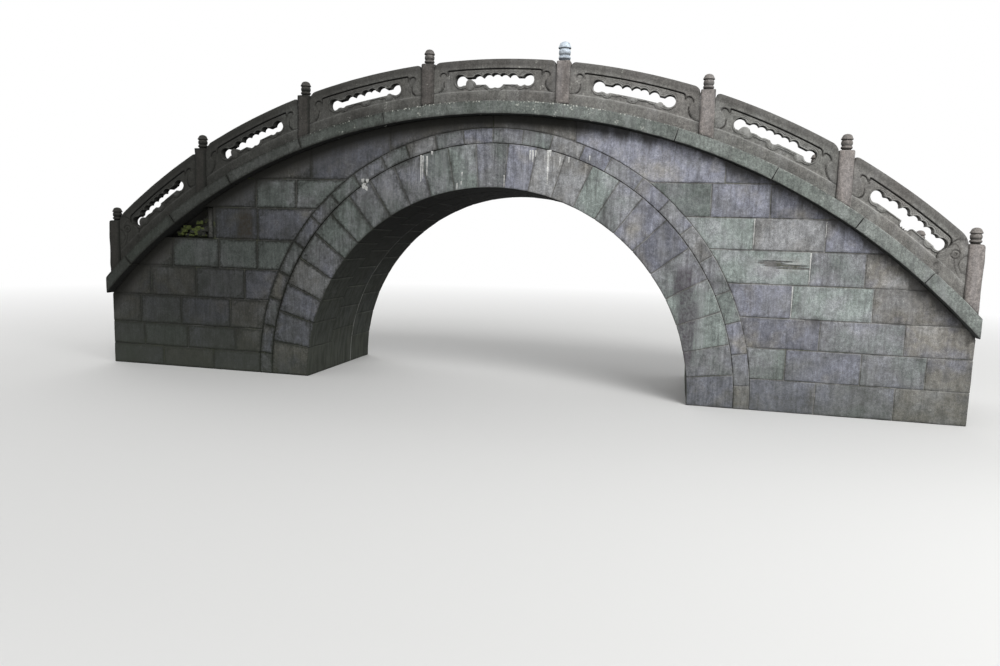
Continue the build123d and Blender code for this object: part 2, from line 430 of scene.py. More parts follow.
def lay_grain(on, streaks, stains):
    """The stone's tone, its clouds, blotches, specks and grain, the rain's streaks and the dirt."""
    for value, low, high, darkest, lightest in (
        (on.attribute("tone"), 0, 1, 0.74, 1.24),
        (on.clouds, 0.34, 0.66, 0.86, 1.12),
        (on.blotches, 0.36, 0.64, 0.8, 1.16),
        (on.specks, 0.34, 0.66, 0.72, 1.28),
        (on.grain, 0.3, 0.7, 0.68, 1.32),
        (on.fine_streak, 0.36, 0.64, 1 - 0.3 * streaks, 1 + 0.3 * streaks),
    ):
        on.shade(on.between(value, low, high, darkest, lightest))
    on.lay(washed, on.between(on.wide_streak, 0.52, 0.72, 0, 0.6 * streaks))
    on.lay(dark, on.between(on.streak, 0.5, 0.7, 0, streaks))
    dirt_clouds = on.noise(0.27, detail=8, roughness=0.68, shift=31)
    on.lay(dark, on.between(dirt_clouds, 0.52, 0.68, 0, stains))


def lay_arrises(on, wear):
    """Lime on some stretches of the arrises, and dirt on the others."""
    near = on.between(on.from_arris, 0.0015, 0.012, 1, 0)
    limy = on.between(on.noise(0.3, detail=5, roughness=0.7, shift=19), 0.46, 0.54)
    on.lay(lime, on.times(near, limy, wear))
    on.lay(dark, on.times(near, on.calculate("SUBTRACT", 1, limy), wear * 1.4))


def lay_kept_stains_and_shade(on):
    """The mesh's number for stains and painted shade: dirt and painted shade above 0, a pale
    streaky wash below.
    """
    stain = on.attribute("stain")
    on.lay(line_dirt_and_shade, on.times(on.between(stain, 0, 1), on.between(on.blotches, 0.3, 0.6, 0.65, 1)))
    on.lay(lime, on.times(on.between(stain, 0, -1), on.between(on.streak, 0.4, 0.6, 0.25, 1)))


# %% [markdown]
# ## Damp, dirt and painted shade
#
# Trees stand over the left end, so algae and dirty joints grow towards it, and the stone there is
# darker, partly with damp and partly with painted shade of the trees, all of it less at the back.
# Under the coping the wall has a ragged dark margin of dirt that the rain doesn't wash off, mixed
# with painted shade, and next to the lip a smooth black painted shadow, both wider on the left.
# Under the arch the stone is dark with soot and painted shade, darkest at the crown, and a pale
# seam shows where two strips of the barrel meet; painted shade also darkens all that faces down.
# Colour could be painted by hand on each stone, but a rule for each layer also serves the hidden
# faces.

# %% Damp side, shelter and soffit
# Colours of algae and dirt, and of painted shade under the coping, in the arch and facing down.
algae = (0.055, 0.062, 0.048)
joint_dirt = (0.035, 0.034, 0.032)
lip_shade = (0.008, 0.008, 0.006)
soot_and_shade = (0.057, 0.062, 0.052)
crown_shade = (0.006, 0.006, 0.006)
underside = (0.04, 0.04, 0.038)


def lay_damp_and_shaded_side(on, left_shade_and_damp, damp):
    """Dirty joints, algae, damp and painted shade of the trees towards the left, less at the back,
    and algae above the water.
    """
    rightwards = on.add_up(on.x, on.between(on.clouds, 0.3, 0.7, -0.5, 0.5))
    rightwards = on.add_up(rightwards, on.between(on.y, -0.8, 0.8, 0, 2.4))
    ragged = on.add_up(on.from_arris, on.between(on.specks, 0.35, 0.65, -0.012, 0.012))
    near_joint = on.between(ragged, 0.006, 0.042, 1, 0)
    on.lay(joint_dirt, on.times(near_joint, on.between(rightwards, -2.6, 0.4, 0.95, 0.2)))
    on.lay(algae, on.between(rightwards, -4.4, 0.6, 0.5, 0))
    # Painted shade of the trees over the left end, with damp: the colour is made darker there.
    on.shade(on.between(rightwards, -3.6, 1.2, left_shade_and_damp, 1))
    if damp:
        on.lay(algae, on.between(on.z, 0, 0.9, damp, 0))


def lay_coping_dirt_and_shadow(on, strength):
    """Dirt with painted shade in a ragged margin under the coping, and a smooth painted shadow next
    to its lip, by the distance below the coping over the margin's width there."""
    under = on.calculate("SUBTRACT", soffit_radius, on.from_axis(bow_centre))
    ragged = on.add_up(under, on.between(on.wide_streak, 0.35, 0.65, 0.1, -0.1))
    width = on.between(on.x, 0.9, 2.2, 0.27, 0.09)
    # Ragged margin: dirt that the rain doesn't wash off, mixed with painted shade.
    on.lay(dark, on.between(on.calculate("DIVIDE", ragged, width), 0.1, 1, strength, 0))
    # Smooth black painted shadow next to the coping's lip, weaker to the right.
    lip = on.between(on.calculate("DIVIDE", under, width), 0.3, 0.8, 0.9, 0)
    on.lay(lip_shade, on.times(lip, on.between(on.x, 0.9, 2.2, 1, 0.5)))


def lay_arch_soot_and_shade(on):
    """Soot with painted shade and the pale seam inside the arch, and painted shade at its crown and
    on all that faces down.
    """
    inside = on.between(on.from_axis(springing), ring_inner + 0.003, ring_inner + 0.014, 1, 0)
    # Soot mixed with painted shade, inside the arch.
    mottled_soot_and_shade = on.vector("SCALE", _0=soot_and_shade, Scale=on.between(on.streak, 0.36, 0.64, 0.75, 1.3))
    on.lay(mottled_soot_and_shade, on.times(inside, on.between(on.streak, 0.4, 0.66, 0.95, 0.82)))
    seam = on.between(on.off(on.y, face_y + 2 * strip_width), 0.004, 0.014, 0.45, 0)
    on.lay(lime, on.times(inside, seam, on.between(on.blotches, 0.35, 0.5, 0.4, 1)))
    # Painted shade, darkest at the arch's crown.
    on.lay(crown_shade, on.times(inside, on.between(on.z, 1.7, 2.5, 0, 0.7)))
    # Painted shade on all that faces down: a dark colour is laid on, and the colour made darker.
    on.lay(underside, on.between(on.up, -0.8, -0.4, 0.6, 0))
    on.shade(on.between(on.up, -0.9, 0.1, 0.15, 1))


# %% [markdown]
# ## Dirty runs, moss and lichen
#
# In two places dirty water has run down in a wide band: on the right of the ring, and on the left
# wall below the lost stone. Moss grows in soft cushions, thickest in the hollow. Lichen makes round
# pale dots where the light falls, above all along the seat of the balustrade on the coping.

# %% Dirty runs, moss and lichen
moss_green = (0.085, 0.105, 0.03)
lichen_pale = (0.72, 0.73, 0.66)
run_wander = 0.07


def lay_dirty_run(on, middle, half_width, bottom, top, dirt):
    """A wide run of dirty water down the face, that wanders a little to both sides."""
    centre = on.between(on.wide_streak, 0.35, 0.65, middle - run_wander, middle + run_wander)
    across = on.between(on.off(on.x, centre), half_width - 0.03, half_width + 0.03, 0.85, 0)
    above = on.between(on.z, bottom, bottom + 0.1)
    below = on.between(on.z, top - 0.12, top, 1, 0)
    on.lay(dirt, on.times(across, above, below, on.between(on.specks, 0.4, 0.6, 0.45, 1)))


def lay_moss(on, amount):
    """Cushions of moss, dark in their hollows."""
    cushions = on.noise(0.16, detail=7, roughness=0.65, shift=11)
    lumpy = on.vector("SCALE", _0=moss_green, Scale=on.between(on.specks, 0.35, 0.65, 0.35, 1))
    on.lay(lumpy, on.between(cushions, 0.53 - 0.02 * amount, 0.6, 0, amount))


def lay_lichen(on, amount):
    """Round dots along the seat of the balustrade and in a few patches, fewer at both ends."""
    cells = on.add("ShaderNodeTexVoronoi", Vector=on.place, Scale=38, Randomness=1)
    dots = on.between(cells.outputs["Distance"], 0.26, 0.4, 1, 0)
    seat = on.between(on.off(on.from_axis(bow_centre), coping_top), 0.008, 0.026, 1, 0)
    on_seat = on.times(seat, on.between(on.noise(0.3, detail=4, shift=23), 0.42, 0.5))
    patches = on.between(on.noise(0.11, detail=2, shift=29), 0.64, 0.7, 0, amount)
    lit = on.times(on.between(on.x, -3.2, -1.0), on.between(on.x, 1.3, 2.1, 1, 0.25))
    on.lay(lichen_pale, on.times(dots, on.calculate("MAXIMUM", on_seat, patches), lit))


# %% [markdown]
# ## The finishes of the bridge
#
# One function lays the layers, each as strong as is asked for. The arch and the walls share their
# five casts, and the coping, the balustrade, the paving, the newer cap, the mortar and the rubble
# have their own. The specks also pit the surface, and decide how rough it is.

# %% Weathered stone
def weathered_stone(
    name, casts, streaks, stains, wear=0.4, left_shade_and_damp=0.42, damp=0, coping_dirt_and_shadow=0, dirty=(), moss=0,
    lichen=0, gloss=0.2,
):
    """Stone with all its layers. `casts` are the colours from block to block, and `dirty` lists
    dirty runs: middle x, half width, bottom, top and colour."""
    on = StoneFinish(name, casts)
    lay_grain(on, streaks, stains)
    lay_arrises(on, wear)
    lay_kept_stains_and_shade(on)
    # Damp and dirt, with painted shade at the left end, under the coping, in the arch and facing
    # down.
    lay_damp_and_shaded_side(on, left_shade_and_damp, damp)
    if coping_dirt_and_shadow:
        lay_coping_dirt_and_shadow(on, coping_dirt_and_shadow)
    lay_arch_soot_and_shade(on)
    for run in dirty:
        lay_dirty_run(on, *run)
    if moss:
        lay_moss(on, moss)
    if lichen:
        lay_lichen(on, lichen)
    pits = on.add_up(on.times(on.specks, 1.6), on.times(on.grain, 0.5))
    bump = on.add("ShaderNodeBump", Strength=0.6, Distance=0.005, Height=pits)
    shader = on.tree.nodes["Principled BSDF"]
    on.tree.links.new(on.colour, shader.inputs["Base Color"])
    on.tree.links.new(on.between(on.specks, 0.3, 0.7, 0.78, 0.96), shader.inputs["Roughness"])
    on.tree.links.new(bump.outputs[0], shader.inputs["Normal"])
    shader.inputs["Specular IOR Level"].default_value = gloss
    return on.material


# %% Finishes of the bridge's stones
green = (0.25, 0.283, 0.268)
grey = (0.27, 0.275, 0.288)
violet = (0.268, 0.276, 0.328)
brown = (0.262, 0.25, 0.226)
pale = (0.322, 0.327, 0.335)
ring_run = (2.42, 0.09, 0.45, 1.72, (0.06, 0.048, 0.06))
wall_run = (-3.43, 0.1, 1.8, 2.26, (0.027, 0.022, 0.014))
arch_finish = weathered_stone(
    "arch_stone", (green, grey, violet, brown, pale), streaks=0.55, stains=0.5, damp=0.5,
    coping_dirt_and_shadow=0.7, dirty=[ring_run], left_shade_and_damp=0.5, gloss=0.05,
)
wall_finish = weathered_stone(
    "wall_stone", (green, grey, violet, brown, pale), streaks=0.4, stains=0.45, damp=0.55,
    coping_dirt_and_shadow=0.75, dirty=[wall_run], left_shade_and_damp=0.36,
)
coping_finish = weathered_stone(
    "coping_stone", ((0.17, 0.197, 0.176), (0.21, 0.222, 0.213)), streaks=0.35, stains=0.4,
    lichen=0.6, wear=0.35,
)
balustrade_finish = weathered_stone(
    "balustrade_stone", ((0.228, 0.205, 0.192), (0.195, 0.195, 0.182)), streaks=0.3, stains=0.4,
    lichen=0.3, wear=0.3, left_shade_and_damp=0.3,
)
paving_finish = weathered_stone(
    "paving_stone", ((0.26, 0.255, 0.24), (0.33, 0.32, 0.3)), streaks=0, stains=0.5, moss=0.5,
)
new_cap_finish = weathered_stone(
    "new_cap_stone", ((0.6, 0.68, 0.76), (0.62, 0.69, 0.74)), streaks=0.1, stains=0.2, left_shade_and_damp=1,
)
mortar_finish = weathered_stone(
    "mortar", ((0.13, 0.128, 0.122), (0.3, 0.295, 0.285)), streaks=0.2, stains=0.6, moss=0.3,
    coping_dirt_and_shadow=0.8,
)
# Rubble colours darkened with painted shade of the deep hollow under the coping.
shaded_rubble_finish = weathered_stone(
    "rubble", ((0.06, 0.055, 0.045), (0.1, 0.095, 0.08)), streaks=0, stains=0.8, moss=3,
)
print("finishes made:", *(material.name for material in bpy.data.materials))

# %% [markdown]
# ## The ring of the arch
#
# The barrel is three strips side by side, each a ring of long stones cut to a wedge. A wedge
# could be bent from a box with a modifier, but it is simpler to say where each point goes: its
# length runs round the arch, its height runs out from the arch's centre, and below the springing
# the ring goes straight down to the water. The joints stand at the angles seen in the photograph,
# and each stone has the cast that it has there, named by a word.

# %% Looks of the stones
cast_tints = {"green": 0.03, "grey": 0.25, "violet": 0.5, "brown": 0.75, "pale": 0.97}
shade_tones = {"": 0.5, "light": 0.9, "dark": 0.0}


def look(word):
    """Tone and tint of a stone from a word such as "violet" or "dark-violet"."""
    shade, _, cast = word.rpartition("-")
    return {"tone": shade_tones[shade], "tint": cast_tints[cast]}


print("casts:", *cast_tints)


# %% Carry a block round the arch
def round_arch(start, end, length, inner, near_y):
    """Place on the arch: the block's length runs from one angle to the other, in degrees from the
    crown, its height outwards from the inner radius, and its depth backwards from near_y. Past 90
    degrees the block goes straight down, by the arc's length at the inside of the ring."""

    def place(points):
        angle = np.radians(start + (end - start) * points[:, 0] / length)
        lean = np.clip(angle, -np.pi / 2, np.pi / 2)
        fall = ring_inner * np.abs(angle - lean)
        radius = inner + points[:, 2]
        x = radius * np.sin(lean)
        z = springing + radius * np.cos(lean) - fall
        return np.stack([x, near_y + points[:, 1], z], axis=1)

    return place


def ring_of_stones(joints, inner, outer, near_y, depth, seed, looks=None, **shape):
    """Stones between neighbouring joints, and the mortar behind their faces. `looks` names the
    looks of the stones in order."""
    middle = (inner + outer) / 2
    parts = []
    for number, (start, end) in enumerate(zip(joints, joints[1:])):
        gap = np.degrees(joint_gap / 2 / middle)
        length = np.radians(end - start - 2 * gap) * middle
        place = round_arch(start + gap, end - gap, length, inner, near_y)
        size = (length, depth, outer - inner)
        chosen = look(looks[number]) if looks else {}
        parts.append(stone(size, place, seed + number, **chosen, **shape))
    length = np.radians(joints[-1] - joints[0]) * middle
    place = round_arch(joints[0], joints[-1], length, inner + joint_depth, near_y + joint_depth)
    parts.append(mortar((length, depth - 2 * joint_depth, outer - inner - joint_depth), place))
    return parts


# %% Arch stones
foot_angle = 90 + np.degrees(springing / ring_inner)
right_joints = [3.7, 10.6, 17.5, 24.2, 31.2, 37.7, 45.0, 53.0, 61.0, 68.9, 76.5, 83.5, foot_angle]
left_joints = [4.0, 11.0, 18.3, 25.3, 32.3, 39.0, 45.5, 52.0, 59.5, 67.0, 74.5, 82.5, foot_angle]
ring_joints = [-angle for angle in reversed(left_joints)] + right_joints
middles = [(low + high) / 2 for low, high in zip(ring_joints, ring_joints[1:])]
bonded_joints = [-foot_angle] + middles[1:-1] + [foot_angle]
strips = {"front": (0, ring_joints), "middle": (1, bonded_joints), "back": (2, ring_joints)}
ring_looks = (
    "brown violet violet pale grey green green grey grey grey green light-green grey "
    "light-violet light-pale pale light-green light-grey violet dark-violet grey light-green "
    "light-green grey violet"
).split()
for strip, (number, joints) in strips.items():
    near_y = face_y + number * strip_width + (joint_gap / 2 if number else 0)
    depth = strip_width - (joint_gap if number == 1 else joint_gap / 2)
    looks, step = (None, 0.16) if strip == "middle" else (ring_looks, 0.12)
    size = (ring_inner, ring_outer, near_y, depth)
    parts = ring_of_stones(joints, *size, 100 * (number + 1), looks, step=step)
    node = f"arch_ring_{strip}"
    build_piece(f"ring_stones_{strip}", parts, [arch_finish, mortar_finish], "arch_stone", node)

# %% Band stones
band_joints = [6.9, 13.5, 20.7, 27.1, 35.1, 42.3, 49.5, 57.0, 65.2, 72.0, 79.0, 86.0, foot_angle]
band_joints = [-angle for angle in reversed(band_joints)] + [0.0] + band_joints
band_looks = (
    "grey violet grey brown grey violet grey green grey grey pale grey violet grey "
    "green pale violet grey violet grey pale grey green violet grey brown grey"
).split()
back_face_y = -face_y - wall_thickness
for side, near_y, seed in (("front", face_y, 400), ("back", back_face_y, 500)):
    size = (ring_outer + joint_gap / 2, band_outer, near_y, wall_thickness)
    parts = ring_of_stones(band_joints, *size, seed, band_looks, step=0.1)
    node = f"arch_band_{side}"
    build_piece(f"band_stones_{side}", parts, [arch_finish, mortar_finish], "arch_stone", node)

# %% [markdown]
# ## Coursed walls
#
# Between the band and the coping the walls are squared stones in level courses. The ends of a
# course are cut to the curves that they meet. So a stone's place is given by four sides: two
# heights, and two ends that may themselves be functions of the height. Over the arch the stones
# run up to the coping, and there the two ends are upright and the top and bottom are the curves.

# %% Curves that bound the walls
def band_reach(height):
    """How far from the middle the band's outer edge is at a height."""
    above = np.clip(np.asarray(height, float) - springing, 0, band_outer)
    return np.sqrt(band_outer**2 - above**2)


def coping_reach(height):
    """How far from the middle the coping's underside is at a height, up to the bridge's end."""
    reach = np.sqrt(soffit_radius**2 - (np.asarray(height, float) - bow_centre) ** 2)
    return np.minimum(reach, half_length)


def band_level(x):
    """Height of the band's outer edge at a distance from the middle."""
    return springing + np.sqrt(np.clip(band_outer**2 - np.asarray(x, float) ** 2, 0, None))


def bow_level(x, radius=soffit_radius):
    """Height of a bow, such as the coping's underside, at a distance from the middle."""
    return bow_centre + np.sqrt(radius**2 - np.asarray(x, float) ** 2)


print("2 m up the walls run from", band_reach(2).round(2), "to", coping_reach(2).round(2))


# %% Carry a block into a wall
def in_course(low, high, near, far, way, near_y, size):
    """Place in a course between two heights and two ends, which are functions of the height.
    `way` is 1 to the right of the arch and -1 to the left."""

    def place(points):
        z = low + (high - low) * points[:, 2] / size[2]
        x = near(z) + (far(z) - near(z)) * points[:, 0] / size[0]
        return np.stack([way * x, near_y + points[:, 1], z], axis=1)

    return place


def between_curves(near, far, low, high, way, near_y, size):
    """Place between two upright ends and two curves, which are functions of the distance x."""

    def place(points):
        x = near + (far - near) * points[:, 0] / size[0]
        z = low(x) + (high(x) - low(x)) * points[:, 2] / size[2]
        return np.stack([way * x, near_y + points[:, 1], z], axis=1)

    return place


# %% Stones of one wall
def wall_parts(courses, top_joints, way, near_y, seed, lost=None, scarred=None):
    """All stones of one wall. Each course is a pair of heights with the places of its upright
    joints and the looks of its stones. `lost` is the number of the course whose last stone is
    gone, and `scarred` the course and the order of a stone that gets a finer grid."""
    half_gap = joint_gap / 2
    parts = []
    for number, (low, high, joints, looks) in enumerate(courses):
        ends = [lambda z: band_reach(z) + half_gap]
        ends += [lambda z, joint=joint: np.full_like(z, joint) for joint in joints]
        ends += [lambda z: coping_reach(z) - half_gap]
        for order, (near, far) in enumerate(zip(ends, ends[1:])):
            if number == lost and order == len(ends) - 2:
                continue
            middle = np.array([(low + high) / 2])
            length = float(far(middle)[0] - near(middle)[0]) - joint_gap
            size = (length, wall_thickness, high - low - joint_gap)
            near_end = (lambda z, near=near: near(z) + half_gap) if order else near
            far_end = (lambda z, far=far: far(z) - half_gap) if order < len(ends) - 2 else far
            place = in_course(low + half_gap, high - half_gap, near_end, far_end, way, near_y, size)
            step = (0.013, 0.1, 0.007) if (number, order) == scarred else 0.1
            chosen = look(looks.split()[order])
            parts.append(stone(size, place, seed + 10 * number + order, **chosen, step=step))
    bed = courses[-1][1]
    joints, looks = top_joints
    for order, (near, far) in enumerate(zip(joints, joints[1:])):
        middle = (near + far) / 2
        height = float(bow_level(middle) - max(bed, band_level(middle)))
        size = (far - near - joint_gap, wall_thickness, height)
        ends = (near + half_gap, far - half_gap)
        curves = (lambda x: np.maximum(bed, band_level(x)) + half_gap, bow_level)
        place = between_curves(*ends, *curves, way, near_y, size)
        parts.append(stone(size, place, seed + 90 + order, **look(looks.split()[order])))
    return parts


def wall_mortar(way, near_y, depth, start=0.0, end=half_length, floor=0.0, ceiling=9.0):
    """Mortar of a wall, from the band or a floor up to the coping or a ceiling, and a little behind
    the faces of the stones."""
    size = (end - start, depth - 2 * joint_depth, 1.0)

    def low(x):
        return np.where(x < band_outer, band_level(np.minimum(x, band_outer)), floor)

    def high(x):
        return np.maximum(np.minimum(bow_level(x), ceiling), low(x) + 0.002)

    ends = (start, end - joint_depth)
    return mortar(size, between_curves(*ends, low, high, way, near_y + joint_depth, size))


# %% Joints of the walls
right_courses = [
    (0.0, 0.38, [3.95, 4.80], "violet grey brown"),
    (0.38, 0.75, [3.60, 4.42, 5.10], "green violet grey brown"),
    (0.75, 1.11, [3.95, 4.85], "dark-violet grey brown"),
    (1.11, 1.50, [3.62, 4.49], "violet light-green dark-brown"),
    (1.50, 1.89, [3.79, 4.38], "light-green grey brown"),
    (1.89, 2.26, [3.15, 3.93], "light-green pale violet"),
    (2.26, 2.65, [2.65, 3.31], "dark-green violet dark-violet"),
]
# The many dark stones on the left are partly painted shade of the trees over the left end.
left_courses = [
    (0.0, 0.28, [3.95, 4.75], "dark-grey dark-brown dark-grey"),
    (0.28, 0.60, [3.60, 4.35, 5.05], "dark-brown dark-grey dark-green dark-grey"),
    (0.60, 1.00, [3.68, 4.45, 5.10], "dark-brown dark-violet dark-grey dark-brown"),
    (1.00, 1.42, [3.45, 4.20, 4.92], "violet dark-grey dark-brown dark-brown"),
    (1.42, 1.82, [3.255, 3.84, 4.56], "light-green light-green light-green dark-brown"),
    (1.82, 2.25, [3.24, 3.89], "violet dark-violet brown"),
    (2.25, 2.635, [2.67, 3.26], "light-green light-green dark-grey"),
]
top_joints = {
    "right": ([0.0, 1.03, 2.79, 3.33], "brown light-violet dark-violet"),
    "left": ([0.0, 1.35, 2.45, 3.35], "dark-brown dark-violet dark-brown"),
}
lost_course = 5
lost_start = left_courses[lost_course][2][-1] + 0.04
lost_end = 4.9
lost_depth = 0.12
scarred = (4, 0)
print("courses:", len(left_courses), "on the left and", len(right_courses), "on the right")

# %% [markdown]
# ## Scar of a knocked stone
#
# Something has knocked a stone on the right wall and left level gouges, with painted shade
# inside them and a pale stain round about. A bump in the finish would look flat from the side, so
# the gouges are cut into that one stone, which gets a finer grid for it.

# %% Scar of a knocked stone
gouges = (
    (3.35, 1.748, 0.13, 0.007),
    (3.52, 1.722, 0.20, 0.010),
    (3.60, 1.695, 0.19, 0.007),
    (3.42, 1.768, 0.16, 0.005),
)
gouge_depth = 0.03


def level_bell(x, z, middle, level, long, high):
    """1 at a place on the face, falling by a fourth power in length and a square in height."""
    return np.exp(-(((x - middle) / long) ** 4) - ((z - level) / high) ** 2)


def knock(part):
    """Cuts the gouges, broken up by ripples, into the face of a stone and marks it: painted shade
    where it is deep, and a pale stain round about."""
    points = part["points"]
    x, y, z = points.T
    depth = np.zeros(len(points))
    for middle, level, long, high in gouges:
        rough = np.clip(0.8 + 0.7 * ripple(points, int(1000 * middle), 0.12), 0, 1.3)
        depth += gouge_depth * rough * level_bell(x, z, middle, level, long, high)
    depth = np.where(y < face_y + 0.02, depth, 0)
    around = level_bell(x, z, 3.5, 1.73, 0.36, 0.07)
    # Painted shade deep in the gouges, and a pale stain round about.
    part["stain"] = np.clip(depth / 0.006 - 0.6 * around, -0.6, 1)
    points[:, 1] += depth
    print("scar", round(float(depth.max()), 3), "deep")


# %% Walls
for side, near_y in (("front", face_y), ("back", back_face_y)):
    for end, way, courses in (("left", -1, left_courses), ("right", 1, right_courses)):
        lost = lost_course if (side, end) == ("front", "left") else None
        fine = scarred if (side, end) == ("front", "right") else None
        seed = 1000 + 200 * (side == "back") + 100 * (end == "right")
        parts = wall_parts(courses, top_joints[end], way, near_y, seed, lost, fine)
        if fine:
            stones_below = sum(len(looks.split()) for *_, looks in courses[: fine[0]])
            knock(parts[stones_below + fine[1]])
        if lost:
            bed = courses[lost][0]
            parts.append(wall_mortar(way, near_y, wall_thickness, end=lost_start))
            parts.append(wall_mortar(way, near_y, wall_thickness, start=lost_start, ceiling=bed))
            behind = wall_thickness - lost_depth
            deep_y = near_y + lost_depth
            parts.append(wall_mortar(way, deep_y, behind, lost_start, end=lost_end, floor=bed))
        else:
            parts.append(wall_mortar(way, near_y, wall_thickness))
        node = f"spandrel_wall_{side}_{end}"
        finishes = [wall_finish, mortar_finish]
        build_piece(f"wall_stones_{side}_{end}", parts, finishes, "wall_stone", node)

# %% [markdown]
# ## Where a stone is lost
#
# High on the left the stone beside the coping has fallen out. The hollow behind it is a stone's
# bed deep, and holds crumbled mortar and small rubble, green with moss. The rubble is the same worn
# block again, small, turned and strewn by a seeded generator. At the right end of the hollow a pale
# sliver of the lost stone still stands.

# %% Rubble in the hollow
def strewn(size, middle, turn_by, lean):
    """Place of a small block about its own middle: turned by one angle round the upright axis and
    leaned by another round the bridge's length."""

    def place(points):
        along, across, up = (points - np.array(size) / 2).T
        x = along * np.cos(turn_by) - across * np.sin(turn_by)
        turned = along * np.sin(turn_by) + across * np.cos(turn_by)
        y = turned * np.cos(lean) - up * np.sin(lean)
        z = turned * np.sin(lean) + up * np.cos(lean)
        return np.stack([x, y, z], axis=1) + np.array(middle)

    return place


hollow_bed = left_courses[lost_course][0]
random = np.random.default_rng(77)
parts = []
for count in range(22):
    size = random.uniform((0.05, 0.03, 0.025), (0.13, 0.05, 0.07))
    x = random.uniform(-4.5, -lost_start - 0.09)
    room = bow_level(x - 0.08) - hollow_bed
    pile = min(room - 0.06, 0.02 + 0.13 * random.uniform() * (count % 3))
    middle = (x, face_y + random.uniform(0.055, 0.09), hollow_bed + size[2] / 2 + max(pile, 0))
    turned = strewn(size, middle, random.uniform(-0.3, 0.3), random.uniform(-0.3, 0.3))
    parts.append(stone(size, turned, 5000 + count, arris=0.014, step=0.03, wear=0.006))
sliver_size = (0.08, 0.09, 0.41)
sliver_middle = (-lost_start - 0.045, face_y + 0.065, hollow_bed + 0.21)
sliver_place = strewn(sliver_size, sliver_middle, turn_by=0, lean=0)
sliver_shape = {"arris": 0.012, "step": 0.03, "wear": 0.005}
sliver = stone(sliver_size, sliver_place, 5100, tone=1, tint=0.75, **sliver_shape)
sliver["stain"] -= 1
sliver["finish"] += 1
parts.append(sliver)
build_piece("rubble_in_hollow", parts, [shaded_rubble_finish, wall_finish], "rubble_fill")

# %% [markdown]
# ## Coping
#
# A heavy coping of long stones overhangs each face and carries the balustrade. Its stones follow
# the bow, with joints square to it and upright outer ends. The two joints nearest the crown are so
# tight that they don't show, so the crown stone runs over them. A straight block with a curve
# modifier would give the same line, but a formula also gives the upright ends: the two ends of a
# stone are angles about the bow's centre, which may change with the distance from that centre.

# %% Carry a block onto the bow
def on_bow(start, end, inner, near_y, length):
    """Place on a bow: the block's length runs from one angle to the other, which are functions of
    the radius, its height outwards from the inner radius, and its depth backwards from near_y."""

    def place(points):
        radius = inner + points[:, 2]
        angle = start(radius) + (end(radius) - start(radius)) * points[:, 0] / length
        x = radius * np.sin(angle)
        return np.stack([x, near_y + points[:, 1], bow_centre + radius * np.cos(angle)], axis=1)

    return place


def square_joint(x, radius, shift=0.0):
    """A joint square to the bow, through the point of this radius at x."""
    angle = np.arcsin(x / radius) + shift / radius
    return lambda any_radius: np.full_like(any_radius, angle)


def upright_joint(x):
    """An upright joint at x."""
    return lambda radius: np.arcsin(x / radius)


# %% Coping stones
coping_thickness = coping_top - soffit_radius
coping_middle = soffit_radius + coping_thickness / 2
coping_joints = [-5.20, -4.48, -3.60, -2.55, -1.40, 2.21, 3.32, 4.25, 5.01]
# Stones darker to the left: partly painted shade of the trees over the left end, partly own tone.
coping_tones = [0.05, 0.2, 0.1, 0.3, 0.3, 0.6, 0.95, 0.75, 0.9, 0.8]
coping_gap = 0.0024
starts = [square_joint(x, coping_middle, coping_gap / 2) for x in coping_joints]
ends = [square_joint(x, coping_middle, -coping_gap / 2) for x in coping_joints]
starts = [upright_joint(-half_length)] + starts
ends = ends + [upright_joint(half_length)]
for side, seed in (("front", 2000), ("back", 2100)):
    box_low, box_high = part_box(f"coping_{side}")
    parts = []
    for number, (start, end, tone) in enumerate(zip(starts, ends, coping_tones)):
        middle = np.array([coping_middle])
        length = float(end(middle)[0] - start(middle)[0]) * coping_middle
        place = on_bow(start, end, soffit_radius, box_low.y, length)
        size = (length, box_high.y - box_low.y, coping_thickness)
        parts.append(stone(size, place, seed + number, tone, arris=0.012, step=0.08, wear=0.005))
    build_piece(f"coping_stones_{side}", parts, [coping_finish], "coping_stone", f"coping_{side}")

# %% [markdown]
# ## Paving
#
# Over the crown the walkway is paved with slabs that follow the bow, in rows of two and of three by
# turns, so that no joint runs on. The mortar under them stops short of both ends, where the ends of
# the slabs show above the first step.

# %% Paving over the crown
paving_end = paving_high.x
paving_thickness = 0.15
paving_bed = deck_radius - paving_thickness
paving_middle = deck_radius - paving_thickness / 2
walkway_width = -2 * wall_inside
rows = 9
row_edges = np.linspace(-paving_end, paving_end, rows + 1)
parts = []
for row, (near, far) in enumerate(zip(row_edges, row_edges[1:])):
    start = square_joint(near, paving_middle, joint_gap / 2) if row else upright_joint(near)
    end = square_joint(far, paving_middle, -joint_gap / 2) if row < rows - 1 else upright_joint(far)
    shares = (0.0, 0.36, 0.70, 1.0) if row % 2 else (0.0, 0.52, 1.0)
    for number, (left, right) in enumerate(zip(shares, shares[1:])):
        slab_y = wall_inside + left * walkway_width + joint_gap / 2
        size = (far - near, (right - left) * walkway_width - joint_gap, paving_thickness)
        place = on_bow(start, end, paving_bed, slab_y, size[0])
        parts.append(stone(size, place, 2300 + 10 * row + number, arris=0.012))
bed_end = paving_end - joint_depth
bed_size = (2 * bed_end, walkway_width, paving_thickness - joint_depth)
bed_joints = (upright_joint(-bed_end), upright_joint(bed_end))
parts.append(mortar(bed_size, on_bow(*bed_joints, paving_bed, wall_inside, bed_size[0])))
build_piece("paving_slabs", parts, [paving_finish, mortar_finish], "paving_stone", "crown_paving")

# %% [markdown]
# ## Steps
#
# Down each side the walkway becomes a flight of steps, because the bow is too steep there to walk
# on. The nosings stand on the bow, and each step's back is bedded a little under the one above.
# Feet have worn a hollow into the middle of every tread. It could be sculpted, but a bell curve
# across the step, deepest at the nosing, has the right form and is the same each time.

